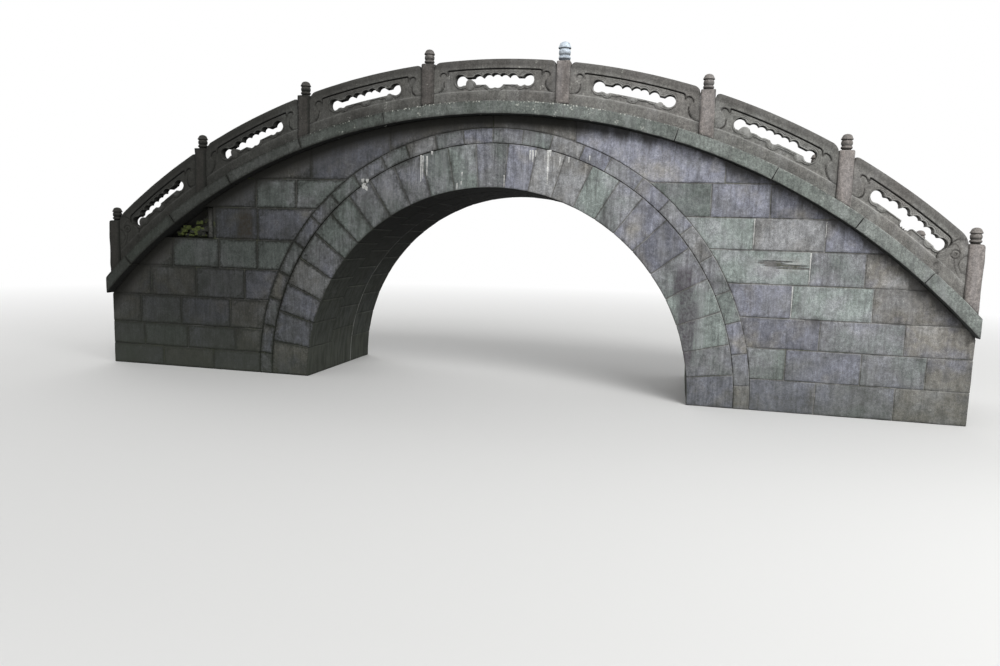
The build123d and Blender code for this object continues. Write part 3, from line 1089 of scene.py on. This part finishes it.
# %% Steps
risers = 12
path_level = 1.4
step_bed = 0.06
first_level = bow_level(paving_end, deck_radius)
riser = (first_level - path_level) / risers
levels = np.array([first_level - count * riser for count in range(1, risers + 1)])
nosings = [*np.sqrt(deck_radius**2 - (levels[:-1] - bow_centre) ** 2), half_length]
backs = [paving_end] + [nosing - step_bed for nosing in nosings[:-1]]
step_gap = 0.002
hollow_depth = 0.014
hollow_width = 0.33


def tread(back, nosing, level, way):
    """Place of a step: its length runs from its back edge to its nosing. The top sinks by a bell
    curve across the walkway, deepest at the nosing."""
    length = nosing - back

    def place(points):
        forward = points[:, 0] / length
        across = wall_inside + points[:, 1]
        bell = np.exp(-((across / hollow_width) ** 2))
        hollow = hollow_depth * bell * (0.35 + 0.65 * forward)
        z = level - riser + points[:, 2] - hollow * points[:, 2] / riser
        return np.stack([way * (back + points[:, 0]), across, z], axis=1)

    return place


for end, way in (("left", -1), ("right", 1)):
    parts = []
    for number, (level, back, nosing) in enumerate(zip(levels, backs, nosings)):
        short = step_gap if number < risers - 1 else 0
        size = (nosing - back - short, walkway_width, riser - step_gap)
        seed = 2500 + 50 * (way > 0) + number
        parts.append(stone(size, tread(back, nosing, level, way), seed, arris=0.013, step=0.08))
    build_piece(f"step_stones_{end}", parts, [paving_finish], "paving_stone", f"steps_{end}")

# %% [markdown]
# ## End walls
#
# Under each threshold the bridge ends in an upright wall of three courses, where the path from the
# bank meets it. Its stones are straight blocks, so their place is only a shift from one corner.

# %% End walls under the thresholds
def shifted(*corner):
    """Place of a straight block with its first corner here."""
    return lambda points: points + np.array(corner)


for end, first_seed in (("left", 2700), ("right", 2750)):
    box_low, box_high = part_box(f"end_wall_{end}")
    length, width, _ = box_high - box_low
    heights = [0.0, 0.42, 0.83, box_high.z]
    parts = []
    for row, (low, high) in enumerate(zip(heights, heights[1:])):
        shares = (0.0, 0.34, 0.68, 1.0) if row % 2 else (0.0, 0.5, 1.0)
        for number, (left, right) in enumerate(zip(shares, shares[1:])):
            near_y = box_low.y + left * width + joint_gap / 2
            size = (length, (right - left) * width - joint_gap, high - low - joint_gap)
            place = shifted(box_low.x, near_y, low + joint_gap / 2)
            parts.append(stone(size, place, first_seed + 10 * row + number))
    size = (length - 2 * joint_depth, width, box_high.z - box_low.z)
    parts.append(mortar(size, shifted(box_low.x + joint_depth, box_low.y, box_low.z)))
    node = f"end_wall_{end}"
    build_piece(f"end_stones_{end}", parts, [wall_finish, mortar_finish], "wall_stone", node)

# %% [markdown]
# ## Posts
#
# Each post is a square shaft, level at its top and cut to the coping's bow at its foot, with a
# turned cap: a neck, a ring, a swelling drum, a lip and a low dome. A turned shape is usually spun
# from a profile, which leaves a pole at the top with a star of narrow triangles. Here the same grid
# wrapped round a box is bent round: its square section becomes a disc, its four upright sides
# follow the profile, and its top sheet makes the dome. One cap on the front is newer, taller and
# of a pale stone.

# %% Turned caps
def disc_from_square(across, along):
    """Moves points of the square from -1 to 1 onto the disc of radius 1, so that each square
    outline becomes a circle and each point keeps its share of the way round."""
    wide = np.abs(across) >= np.abs(along)
    radius = np.where(wide, across, along)
    safe = np.where(radius == 0, 1, radius)
    turn_share = np.pi / 4 * np.where(wide, along, across) / safe
    angle = np.where(wide, turn_share, np.pi / 2 - turn_share)
    return radius * np.cos(angle), radius * np.sin(angle)


def turned_cap(profile, dome, centre, seed, cells=8):
    """A turned shape on the point `centre`: the profile lists radius and height from the foot up
    to the lip, and the dome rises inside the lip as the square root of one minus the radius
    squared, like an ellipse."""
    profile = np.array(profile)
    places, quads = wrapped_grid(cells, cells, len(profile) - 1)
    across = 2 * places[:, 0] / cells - 1
    along = 2 * places[:, 1] / cells - 1
    x, y = disc_from_square(across, along)
    radius = profile[places[:, 2], 0]
    height = profile[places[:, 2], 1]
    inwards = np.clip(1 - x**2 - y**2, 0, 1)
    on_top = places[:, 2] == len(profile) - 1
    height = np.where(on_top, height + dome * np.sqrt(inwards), height)
    points = np.stack([radius * x, radius * y, height], axis=1)
    points[:, :2] *= (1 - 0.02 * (1 + ripple(points, seed, 0.09)))[:, None]
    points += np.array(centre)
    from_middle = np.abs(height - profile[len(profile) // 2, 1])
    in_neck = np.abs(height - profile[2, 1]) < 0.003
    return make_part(points, quads, arris=from_middle, tone=0.6, tint=0.2, stain=0.5 * in_neck)


# %% Profiles of the caps
cap_profile = (
    (0.050, -0.010), (0.050, 0.012), (0.060, 0.016), (0.064, 0.024), (0.064, 0.034), (0.059, 0.042),
    (0.050, 0.045), (0.055, 0.052), (0.060, 0.060), (0.0625, 0.072), (0.062, 0.088), (0.058, 0.101),
    (0.050, 0.109), (0.058, 0.112), (0.067, 0.116), (0.067, 0.126), (0.0635, 0.131),
)
cap_dome = 0.049
wider, taller = 78 / 67, 228 / 180
new_cap_profile = [(radius * wider, height * taller) for radius, height in cap_profile]
new_cap_dome = cap_dome * taller
cap_height = cap_profile[-1][1] + cap_dome
print("caps", round(cap_height, 3), "high, and the newer one", round(cap_height * taller, 3))

# %% Posts with their caps
for side, seed in (("front", 3000), ("back", 3100)):
    for number in range(1, 9):
        node = f"post_{side}_{number}"
        box_low, box_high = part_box(node)
        width = box_high.x - box_low.x
        x, y, _ = (box_low + box_high) / 2
        shaft_top = float(bow_level(x, rail_top))
        size = (width, width, shaft_top - float(bow_level(x, coping_top)))
        curves = (lambda x: bow_level(x, coping_top), lambda x, top=shaft_top: top)
        place = between_curves(box_low.x, box_high.x, *curves, 1, box_low.y, size)
        # Left posts darker, more so on the front: partly painted shade of the trees, partly dirt.
        tone = 0.95 if x > 0 else 0.4
        shaft = stone(size, place, seed + number, tone, tint=0, arris=0.02, step=0.05, wear=0.003)
        shaft["stain"] += 0.35 * (x < 0 and side == "front")
        renewed = (side, number) == ("front", 5)
        profile, dome = (new_cap_profile, new_cap_dome) if renewed else (cap_profile, cap_dome)
        cap = turned_cap(profile, dome, (x, y, shaft_top), seed + 20 + number)
        cap["finish"] += renewed
        finishes = [balustrade_finish, new_cap_finish]
        build_piece(f"post_stone_{side}_{number}", [shaft, cap], finishes, "balustrade_stone", node)

# %% [markdown]
# ## Carved panels
#
# The panels are slabs with a rolled rail, a plain base, and a sunk field between. The field ends
# in a cloud bracket at each post, and is pierced by a long cloud-shaped opening with a raised
# border round it. There are four designs of opening, each a slot with discs along it. Every point
# of a panel is placed by u, its distance along from the panel's middle, and v, its distance out
# from the coping.

# %% Openings of the panels
opening_level = 0.262
opening_half = 0.498
slot_half = 0.427
end_discs = ((-0.427, 0.266, 0.071), (0.427, 0.266, 0.071))
least_opening = 0.014
break_middle, break_half = 0.02, 0.078
designs = {
    "scroll": {
        "slot": (0.205, 0.296),
        "discs": (
            (-0.207, 0.268, 0.060), (-0.085, 0.277, 0.060), (0.016, 0.278, 0.062),
            (0.118, 0.274, 0.060), (-0.03, 0.235, 0.075), (0.05, 0.235, 0.072),
            (0.232, 0.275, 0.059), (0.336, 0.243, 0.054),
        ),
        "bump": (-0.306, 0.222, 0.051),
        "rings": ((-0.306, 0.205, 0.034), (0.14, 0.168, 0.022)),
    },
    "ripples": {
        "slot": (0.211, 0.296),
        "discs": (
            (-0.311, 0.247, 0.049), (-0.21, 0.270, 0.060), (-0.096, 0.273, 0.058),
            (0.022, 0.277, 0.059), (0.111, 0.279, 0.059), (0.238, 0.274, 0.062),
        ),
        "bump": (0.335, 0.190, 0.040),
        "rings": ((-0.335, 0.188, 0.024), (0.0, 0.182, 0.026)),
    },
    "waves": {
        "slot": (0.231, 0.308),
        "discs": (
            (-0.272, 0.283, 0.056), (-0.177, 0.285, 0.060), (-0.082, 0.289, 0.057),
            (0.017, 0.287, 0.056), (0.103, 0.285, 0.057), (0.209, 0.288, 0.058),
            (0.0, 0.262, 0.056), (-0.15, 0.272, 0.052),
        ),
        "bump": (-0.347, 0.196, 0.068),
        "rings": ((0.08, 0.178, 0.026), (0.165, 0.182, 0.034), (0.30, 0.190, 0.030)),
    },
    "crests": {
        "slot": (0.208, 0.306),
        "discs": (
            (-0.31, 0.270, 0.052), (-0.216, 0.287, 0.060), (-0.091, 0.290, 0.059),
            (0.052, 0.288, 0.059), (0.137, 0.288, 0.056), (0.241, 0.286, 0.056),
            (0.33, 0.267, 0.049),
        ),
        "bump": (0.0, 0.10, 0.05),
        "rings": ((-0.2, 0.185, 0.024), (0.22, 0.180, 0.03)),
    },
}


def into_disc(u, v, centre, level, radius):
    """How far points are inside the outline of a disc."""
    return radius - np.hypot(u - centre, v - level)


def opening_edges(u, design, broken):
    """Lower and upper edge of the opening at places along the panel: the lowest and highest point
    of the slot and of the discs there, with the scroll's bump standing in it from below. Where the
    panel is broken, the lower edge drops by a ragged depth."""
    inside = np.abs(u) < slot_half
    low = np.where(inside, design["slot"][0], opening_level)
    high = np.where(inside, design["slot"][1], opening_level)
    for centre, level, radius in end_discs + design["discs"]:
        half = np.sqrt(np.clip(radius**2 - (u - centre) ** 2, 0, None))
        low = np.where(half > 0, np.minimum(low, level - half), low)
        high = np.where(half > 0, np.maximum(high, level + half), high)
    centre, level, radius = design["bump"]
    bump = level + np.sqrt(np.clip(radius**2 - (u - centre) ** 2, 0, None))
    raised = np.maximum(low, np.minimum(bump, high - least_opening))
    low = np.where(np.abs(u - centre) < radius, raised, low)
    if broken:
        ragged = 0.056 + 0.007 * np.sin(u * 190) + 0.004 * np.sin(u * 410)
        low = low - ragged * smooth_step((break_half - np.abs(u - break_middle)) / 0.016)
    return low, high


def from_opening(u, v, design):
    """Distance of points from the outline of the opening: the least distance from the slot or one
    of the discs, and inside the bump at least the depth there."""
    low, high = design["slot"]
    above = np.abs(v - (low + high) / 2) - (high - low) / 2
    distance = np.hypot(np.clip(np.abs(u) - slot_half, 0, None), np.clip(above, 0, None))
    for disc in end_discs + design["discs"]:
        distance = np.minimum(distance, -into_disc(u, v, *disc))
    return np.maximum(distance, into_disc(u, v, *design["bump"]))


along = np.linspace(-opening_half, opening_half, 200)
for kind, design in designs.items():
    low, high = opening_edges(along, design, broken=False)
    print("opening", kind, "up to", round(float(np.max(high - low)), 3), "high")


# %% [markdown]
# ## Relief of the panels
#
# The carving is low and rounded by the weather. It could be sculpted, or drawn as a bump, but here
# it is a depth for each point, found from how far the point is inside the outlines of the field,
# the border and the cloud leaf at the ends. A line is a bell curve across such an outline, and a
# step is an S curve.

# %% Outlines of the carving
rail_half, field_half, base_half = 0.065, 0.055, 0.061
rail_line, base_line = 0.392, 0.130
roll_start, roll_radius = 0.467, 0.045
border_width = 0.030
border_low = 0.195
border_lobes = (
    (-0.41, 0.262, 0.098), (0.41, 0.262, 0.098), (-0.31, 0.214, 0.066), (0.0, 0.216, 0.074),
    (0.33, 0.214, 0.064),
)
leaf_half = 0.068
leaf_low_x, leaf_high_z = 5.10, 1.87
leaf_lobes = ((5.20, 1.87, 0.115), (5.32, 1.94, 0.135))
leaf_rings = ((5.262, 1.915, 0.046), (5.262, 1.915, 0.014), (5.41, 1.80, 0.105))


def into_border(u, v, design):
    """Distance of points inside the outline of the raised border: the discs of the opening grown
    by the border's width, a band below them, and the lobes at its ends and under the band."""
    upwards = np.minimum(v - border_low, design["slot"][1] + border_width - v)
    inside = np.minimum(slot_half - np.abs(u), upwards)
    for disc in design["discs"]:
        inside = np.maximum(inside, border_width + into_disc(u, v, *disc))
    for lobe in border_lobes:
        inside = np.maximum(inside, into_disc(u, v, *lobe))
    return inside


def into_field(end_gap, v):
    """Distance of points inside the outline of the sunk field: a long sheet under the rail, with a
    small lobe beyond it at each end, and a disc taken out of each end for the bracket."""
    far_in, below = end_gap - 0.165, rail_line - v
    rounded = 0.03 - np.hypot(np.clip(0.03 - far_in, 0, None), np.clip(0.03 - below, 0, None))
    long_sheet = np.minimum(np.minimum(far_in, below), rounded)
    lobe = into_disc(end_gap, v, 0.116, 0.327, 0.048)
    inner_sheet = np.minimum(end_gap - 0.105, 0.327 - v)
    field = np.maximum(np.maximum(long_sheet, lobe), np.maximum(inner_sheet, 0.24 - v))
    return np.minimum(field, -into_disc(end_gap, v, 0.020, 0.235, 0.100))


def into_leaf(x, z):
    """Distance of points inside the cloud leaf that ends the balustrade beside its lowest posts:
    two discs over a sheet, in the frame's own measure, the same at both ends."""
    inside = np.minimum(np.abs(x) - leaf_low_x, leaf_high_z - z)
    for lobe in leaf_lobes:
        inside = np.maximum(inside, into_disc(np.abs(x), z, *lobe))
    return inside


def groove(distance, width, depth):
    """A groove or, with a negative depth, a bead: a bell curve across the line at distance 0."""
    return -depth * np.exp(-((distance / width) ** 2))


# %% Relief of a panel
def relief(u, v, x, z, end_gap, design, seed):
    """Half the panel's thickness at each point, and its marks: painted shade in the carved lines,
    dark on the rail's top, pale on the arrises of the border and the base. The rail's level is sunk
    to the field's behind a deep line, raised again by the border, and the base stands proud below.
    The rail's top is rolled, and the whole is worn by ripples."""
    inside = into_field(end_gap, v)
    depth = rail_half - (rail_half - field_half) * smooth_step((inside + 0.004) / 0.010)
    shallow = smooth_step((v - 0.25) / 0.015) * smooth_step((0.335 - v) / 0.015)
    curl = smooth_step((0.172 - end_gap) / 0.01) * smooth_step((v - 0.3) / 0.02)
    line = groove(inside - 0.006, 0.0055, 0.013) * smooth_step((v - 0.13) / 0.03)
    line *= (1 - 0.75 * shallow) * (1 - 0.4 * curl)
    depth += line
    in_field = smooth_step((inside - 0.01) / 0.02)
    border = into_border(u, v, design)
    depth += 0.008 * smooth_step((border + 0.003) / 0.006) * in_field
    inner_line = groove(border - 0.013, 0.004, 0.005) * in_field
    depth += inner_line
    for ring in design["rings"]:
        depth += groove(into_disc(u, v, *ring), 0.004, 0.005)
    depth -= 0.004 * smooth_step(1 - from_opening(u, v, design) / 0.008)
    depth += (base_half - depth) * smooth_step((base_line + 0.010 - v) / 0.010)
    leaf = into_leaf(x, z)
    depth += (leaf_half - depth) * smooth_step((leaf + 0.003) / 0.006)
    leaf_line = groove(leaf + 0.006, 0.005, 0.010)
    for ring in leaf_rings:
        curve = groove(into_disc(np.abs(x), z, *ring), 0.005, 0.008)
        leaf_line += curve * smooth_step(leaf / 0.01)
    depth += leaf_line
    roll = np.clip((v - roll_start) / roll_radius, 0, 1)
    depth -= roll_radius * (1 - np.sqrt(1 - roll**2))
    spots = np.stack([x, np.zeros_like(x), z], axis=-1).reshape(-1, 3)
    worn = 0.0018 * (1 + ripple(spots, seed, 0.3)) + 0.0008 * (1 + ripple(spots, seed + 5, 0.06))
    # Painted shade in the carved lines, darker on the rail's top, and paler on the border and the
    # base line.
    dirt = np.clip(-(line + leaf_line) / 0.008, 0, 1) + np.clip(-inner_line / 0.006, 0, 0.7)
    dirt += 0.6 * smooth_step((v - 0.40) / 0.05) - groove(border + 0.006, 0.005, 0.6) * in_field
    dirt -= 0.5 * smooth_step(border / 0.004) * in_field - groove(v - base_line, 0.006, 0.5)
    return depth - np.clip(worn, 0, None).reshape(u.shape), np.clip(dirt, -0.6, 1)


# %% [markdown]
# ## Mesh of a panel
#
# Cutting the opening with a boolean would leave a ragged mesh. Instead each face of a panel is two
# sheets of one grid: a lower sheet up to the opening's lower edge, and an upper sheet from its
# upper edge. Beyond the opening the two sheets share their points.

# %% Grid of a panel
corner_radius = 0.068
rolled_rows = roll_start + roll_radius * np.sin(np.radians([25, 45, 62, 76, 90]))
rail_rows = np.concatenate([[0.394, 0.398, 0.404, 0.414, 0.430, 0.448, roll_start], rolled_rows])
base_rows = np.array([0.0, 0.05, 0.10, 0.124, 0.130, 0.135, 0.140])
low_shares = 1 - (1 - np.linspace(0, 1, 13)[1:]) ** 1.3
high_shares = 1 - (1 - np.linspace(0, 1, 18)) ** 1.15
end_shares = np.linspace(0, 1, 25)


def panel_grid(start_x, end_x, design, broken):
    """Places along and up the panel for all grid points, in the bow's own measure: u along it from
    the panel's middle, v out from the coping. Inside the opening's length the columns are square
    to the bow. Beyond it they turn until the last one is upright against the post."""
    middle_radius = coping_top + opening_level
    middle_angle = np.arcsin((start_x + end_x) / 2 / middle_radius)
    tips = opening_half - np.array([0.0, 0.0012, 0.004, 0.009, 0.016, 0.025])
    inner = np.concatenate([-tips, np.linspace(-0.462, 0.462, 92), tips[::-1]])
    low, high = opening_edges(inner, design, broken)
    low[[0, -1]] = opening_level
    high[[0, -1]] = opening_level
    beyond = len(end_shares) - 1
    along = np.pad(inner, beyond, mode="edge")[:, None]
    turn_share = np.concatenate([end_shares[:0:-1], np.zeros(len(inner)), end_shares[1:]])[:, None]
    low = np.pad(low, beyond, constant_values=opening_level)[:, None]
    high = np.pad(high, beyond, constant_values=opening_level)[:, None]
    base = np.broadcast_to(base_rows, (len(low), len(base_rows)))
    lower_v = np.concatenate([base, base_rows[-1] + (low - base_rows[-1]) * low_shares], axis=1)
    rail = np.broadcast_to(rail_rows, (len(low), len(rail_rows)))
    upper_v = np.concatenate([high + (rail_rows[0] - 0.003 - high) * high_shares, rail], axis=1)
    v = np.concatenate([lower_v, upper_v], axis=1)
    side_x = np.where(along < 0, start_x, end_x)
    end_u = middle_radius * (np.arcsin(side_x / (coping_top + v)) - middle_angle)
    u = along + (end_u - along) * turn_share
    angle = middle_angle + u / middle_radius
    x = (coping_top + v) * np.sin(angle)
    end_gap = np.minimum(x - start_x, end_x - x)
    short = np.clip(corner_radius - end_gap, 0, None)
    corner = corner_radius - np.sqrt(np.clip(corner_radius**2 - short**2, 0, None))
    z = bow_centre + (coping_top + v - corner * smooth_step((v - 0.40) / 0.112)) * np.cos(angle)
    return u, v, x, z, end_gap, lower_v.shape[1], beyond


def strip(first, second):
    """Quads between two rows of point numbers."""
    return np.stack([first[:-1], first[1:], second[1:], second[:-1]], axis=-1)


def carved_panel(start_x, end_x, middle_y, seed, design, broken=False):
    """A pierced panel as one closed mesh: a front and a back sheet, each of a lower and an upper
    half, and the strips that close the ends, the top, the base and the opening."""
    u, v, x, z, end_gap, split, outer = panel_grid(start_x, end_x, design, broken)
    front, dirt = relief(u, v, x, z, end_gap, design, seed)
    back, _ = relief(u, v, x, z, end_gap, design, seed + 1)
    faces_y = (middle_y - front, middle_y + back)
    points = np.concatenate([np.stack([x, y, z], axis=-1).reshape(-1, 3) for y in faces_y])
    index = np.arange(x.size).reshape(x.shape)
    joined = np.ones(len(x), bool)
    joined[outer + 1:-outer - 1] = False
    index[joined, split] = index[joined, split - 1]
    faces = []
    for sheet in (index[:, :split], index[:, split:]):
        quads = sheet_quads(sheet)
        faces += [quads, quads[:, ::-1] + x.size]
    hole = slice(outer, len(x) - outer)
    rims = (
        (index[:, 0], -1), (index[:, -1], 1), (index[0], 1), (index[-1], -1),
        (index[hole, split - 1], 1), (index[hole, split], -1),
    )
    for rim, way in rims:
        rim = rim[np.concatenate([[True], rim[1:] != rim[:-1]])]
        faces.append(strip(rim, rim + x.size)[:, ::way])
    used, quads = np.unique(np.concatenate(faces), return_inverse=True)
    random = np.random.default_rng(seed)
    tone = random.uniform(0.3, 0.8)
    tint = random.uniform(0.6, 1)
    # The painted shade of the carved lines goes to the mesh with the panel's stains.
    stain = 0.9 * np.tile(dirt.ravel(), 2)[used]
    return make_part(points[used], quads.reshape(-1, 4), arris=1, tone=tone, tint=tint, stain=stain)


# %% Panels between the posts
panel_designs = ("waves", "scroll", "ripples", "scroll", "ripples", "waves", "crests")
panel_gap = 0.001
sharp_angle = np.radians(48)
for side, seed in (("front", 4000), ("back", 4100)):
    for number, kind in enumerate(panel_designs, start=1):
        node = f"panel_{side}_{number}"
        box_low, box_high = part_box(node)
        middle_y = (box_low.y + box_high.y) / 2
        broken = (side, number) == ("front", 7)
        ends = (box_low.x + panel_gap, box_high.x - panel_gap)
        part = carved_panel(*ends, middle_y, seed + 3 * number, designs[kind], broken)
        name = f"panel_stone_{side}_{number}"
        piece = build_piece(name, [part], [balustrade_finish], "balustrade_stone", node)
        piece.data.set_sharp_from_angle(angle=sharp_angle)

# %% [markdown]
# ## Lime
#
# Rain dissolves lime out of the joints and leaves it on the face as white runs, which start at a
# joint and taper downwards. They could be painted into the stone's finish, but each of them has
# its own place, and a crust has a little thickness. So a run is a thin worn block, narrowed and
# bent as it comes down. The places are those seen in the photograph, and a cluster of small spots
# sits where the band meets the wall on the left.

# %% Lime runs and limy joints
def lime_run(x, top, bottom, width, seed):
    """A thin crust on the front face: its width falls from 1 at the top to a third at the foot, and
    two sine waves bend it."""
    size = (width, 0.014, top - bottom)

    def place(points):
        share = points[:, 2] / size[2]
        narrow = 0.33 + 0.67 * share**0.7 + 0.12 * np.sin(23 * share + seed)
        bend = 0.05 * width * np.sin(9 * share + seed) * (1 - share)
        along = x + (points[:, 0] - width / 2) * narrow + bend
        return np.stack([along, face_y - 0.0005 + points[:, 1], bottom + points[:, 2]], axis=1)

    steps = (0.01, 0.1, 0.025)
    run = stone(size, place, seed, tone=0.5, tint=0.5, arris=0.002, step=steps, wear=0.001)
    run["arris"] += 1
    return run


runs = (
    (-0.93, 2.957, 2.62, 0.020), (-0.905, 2.95, 2.66, 0.016), (-0.85, 2.945, 2.70, 0.020),
    (-0.786, 3.007, 2.958, 0.035), (-0.448, 2.614, 2.528, 0.016), (-0.386, 2.751, 2.70, 0.02),
    (-0.396, 2.64, 2.59, 0.016), (0.157, 2.719, 2.573, 0.014), (0.475, 3.02, 2.90, 0.022),
    (0.51, 3.023, 2.879, 0.03), (0.545, 3.02, 2.94, 0.018), (0.70, 3.024, 2.605, 0.026),
    (0.725, 3.024, 2.94, 0.03), (0.846, 2.941, 2.834, 0.02), (0.956, 2.941, 2.87, 0.02),
    (1.208, 2.96, 2.896, 0.016),
)
limy_joints = (
    (3.15, 2.255, 1.90, 0.012), (3.93, 2.24, 2.05, 0.010), (3.79, 1.88, 1.52, 0.012),
    (3.62, 1.49, 1.13, 0.012),
)
parts = [lime_run(*run, seed=6000 + count) for count, run in enumerate(runs + limy_joints)]
random = np.random.default_rng(12)
for count in range(9):
    x, level = random.uniform((-1.73, 2.52), (-1.655, 2.63))
    parts.append(lime_run(x, level + 0.03, level - 0.02, random.uniform(0.02, 0.05), 6100 + count))
lime_finish = weathered_stone(
    "lime", ((0.66, 0.66, 0.64), (0.78, 0.78, 0.76)), streaks=0.15, stains=0.15, left_shade_and_damp=0.7,
)
build_piece("lime_runs", parts, [lime_finish], None)

# %% [markdown]
# ## Fill
#
# The rubble inside never shows, so its solids stay as they are, in the mortar's finish.

# %% Rubble inside
for end in ("left", "right"):
    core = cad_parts[f"fill_{end}"]
    core.data.materials.clear()
    core.data.materials.append(mortar_finish)
print("fill in the finish", mortar_finish.name)

# %% [markdown]
# ## Floor
#
# The bridge stands on a plain pale floor. Far from the bridge it fades into the white backdrop for
# the camera alone, which hides the horizon and leaves the shadows near the bridge.

# %% Pale floor
def seen_directly(nodes):
    """1 for rays from the camera or off a glossy face, which see the white backdrop itself."""
    path = nodes.add("ShaderNodeLightPath")
    return nodes.calculate("MAXIMUM", path.outputs["Is Camera Ray"], path.outputs["Is Glossy Ray"])


floor_reach = 90.0
floor_level = -0.001
fade_start, fade_end = 7, 20
corners = [(-1, -1), (1, -1), (1, 1), (-1, 1)]
corners = [(x * floor_reach, y * floor_reach, floor_level) for x, y in corners]
floor_mesh = bpy.data.meshes.new("floor")
floor_mesh.from_pydata(corners, [], [(0, 1, 2, 3)])
floor = bpy.data.objects.new("floor", floor_mesh)
bpy.context.scene.collection.objects.link(floor)
floor_finish = bpy.data.materials.new("floor")
nodes = Nodes(floor_finish)
shader = nodes.tree.nodes["Principled BSDF"]
shader.inputs["Base Color"].default_value = (0.78, 0.78, 0.77, 1)
shader.inputs["Roughness"].default_value = 0.9
place = nodes.add("ShaderNodeTexCoord").outputs["Object"]
fade = nodes.between(nodes.vector("LENGTH", "Value", _0=place), fade_start, fade_end)
share = nodes.times(fade, seen_directly(nodes))
white = nodes.add("ShaderNodeEmission", Color=(1, 1, 1), Strength=1).outputs[0]
mixed = nodes.add("ShaderNodeMixShader", _0=share, _1=shader.outputs[0], _2=white).outputs[0]
nodes.tree.links.new(mixed, nodes.tree.nodes["Material Output"].inputs["Surface"])
floor_mesh.materials.append(floor_finish)
print("floor fades from", fade_start, "to", fade_end, "m")

# %% [markdown]
# ## Light
#
# The light is soft and even, as in a studio, so that the finish is seen as it is. A sky could light
# it from a picture, but a plain white world does it without a file. A wide sun from the right gives
# the shadows that the photograph shows, a large window lifts the right end, and a weak sun from
# behind keeps the back from going black.

# %% Soft light
backdrop_strength, skylight_strength = 1.0, 0.42
world = bpy.data.worlds.new("studio")
bpy.context.scene.world = world
nodes = Nodes(world)
background = nodes.tree.nodes["Background"]
background.inputs["Color"].default_value = (1, 1, 1, 1)
strength = nodes.between(seen_directly(nodes), 0, 1, skylight_strength, backdrop_strength)
nodes.tree.links.new(strength, background.inputs["Strength"])


def shine(name, kind, energy, place, towards=(0, 0, 0), **settings):
    """A lamp at a place, turned so that its own -Z looks at a point."""
    lamp = bpy.data.objects.new(name, bpy.data.lights.new(name, kind))
    lamp.data.energy = energy
    for setting, value in settings.items():
        setattr(lamp.data, setting, value)
    lamp.location = place
    x, y, z = np.array(towards, float) - np.array(place, float)
    lamp.rotation_euler = (np.arctan2(np.hypot(x, y), -z), 0, np.arctan2(-x, y))
    bpy.context.scene.collection.objects.link(lamp)
    print("lamp", name, energy)


shine("sun", "SUN", 1.12, (4.5, -8.0, 8.5), angle=0.5)
window = {"shape": "RECTANGLE", "size": 5, "size_y": 4}
shine("soft_window", "AREA", 560, (9.5, -7.5, 7.5), (3.2, -0.5, 1.6), **window)
shine("far_sun", "SUN", 0.9, (-5.0, 9.0, 5.5), angle=1.2)
bpy.context.scene.view_settings.view_transform = "Standard"
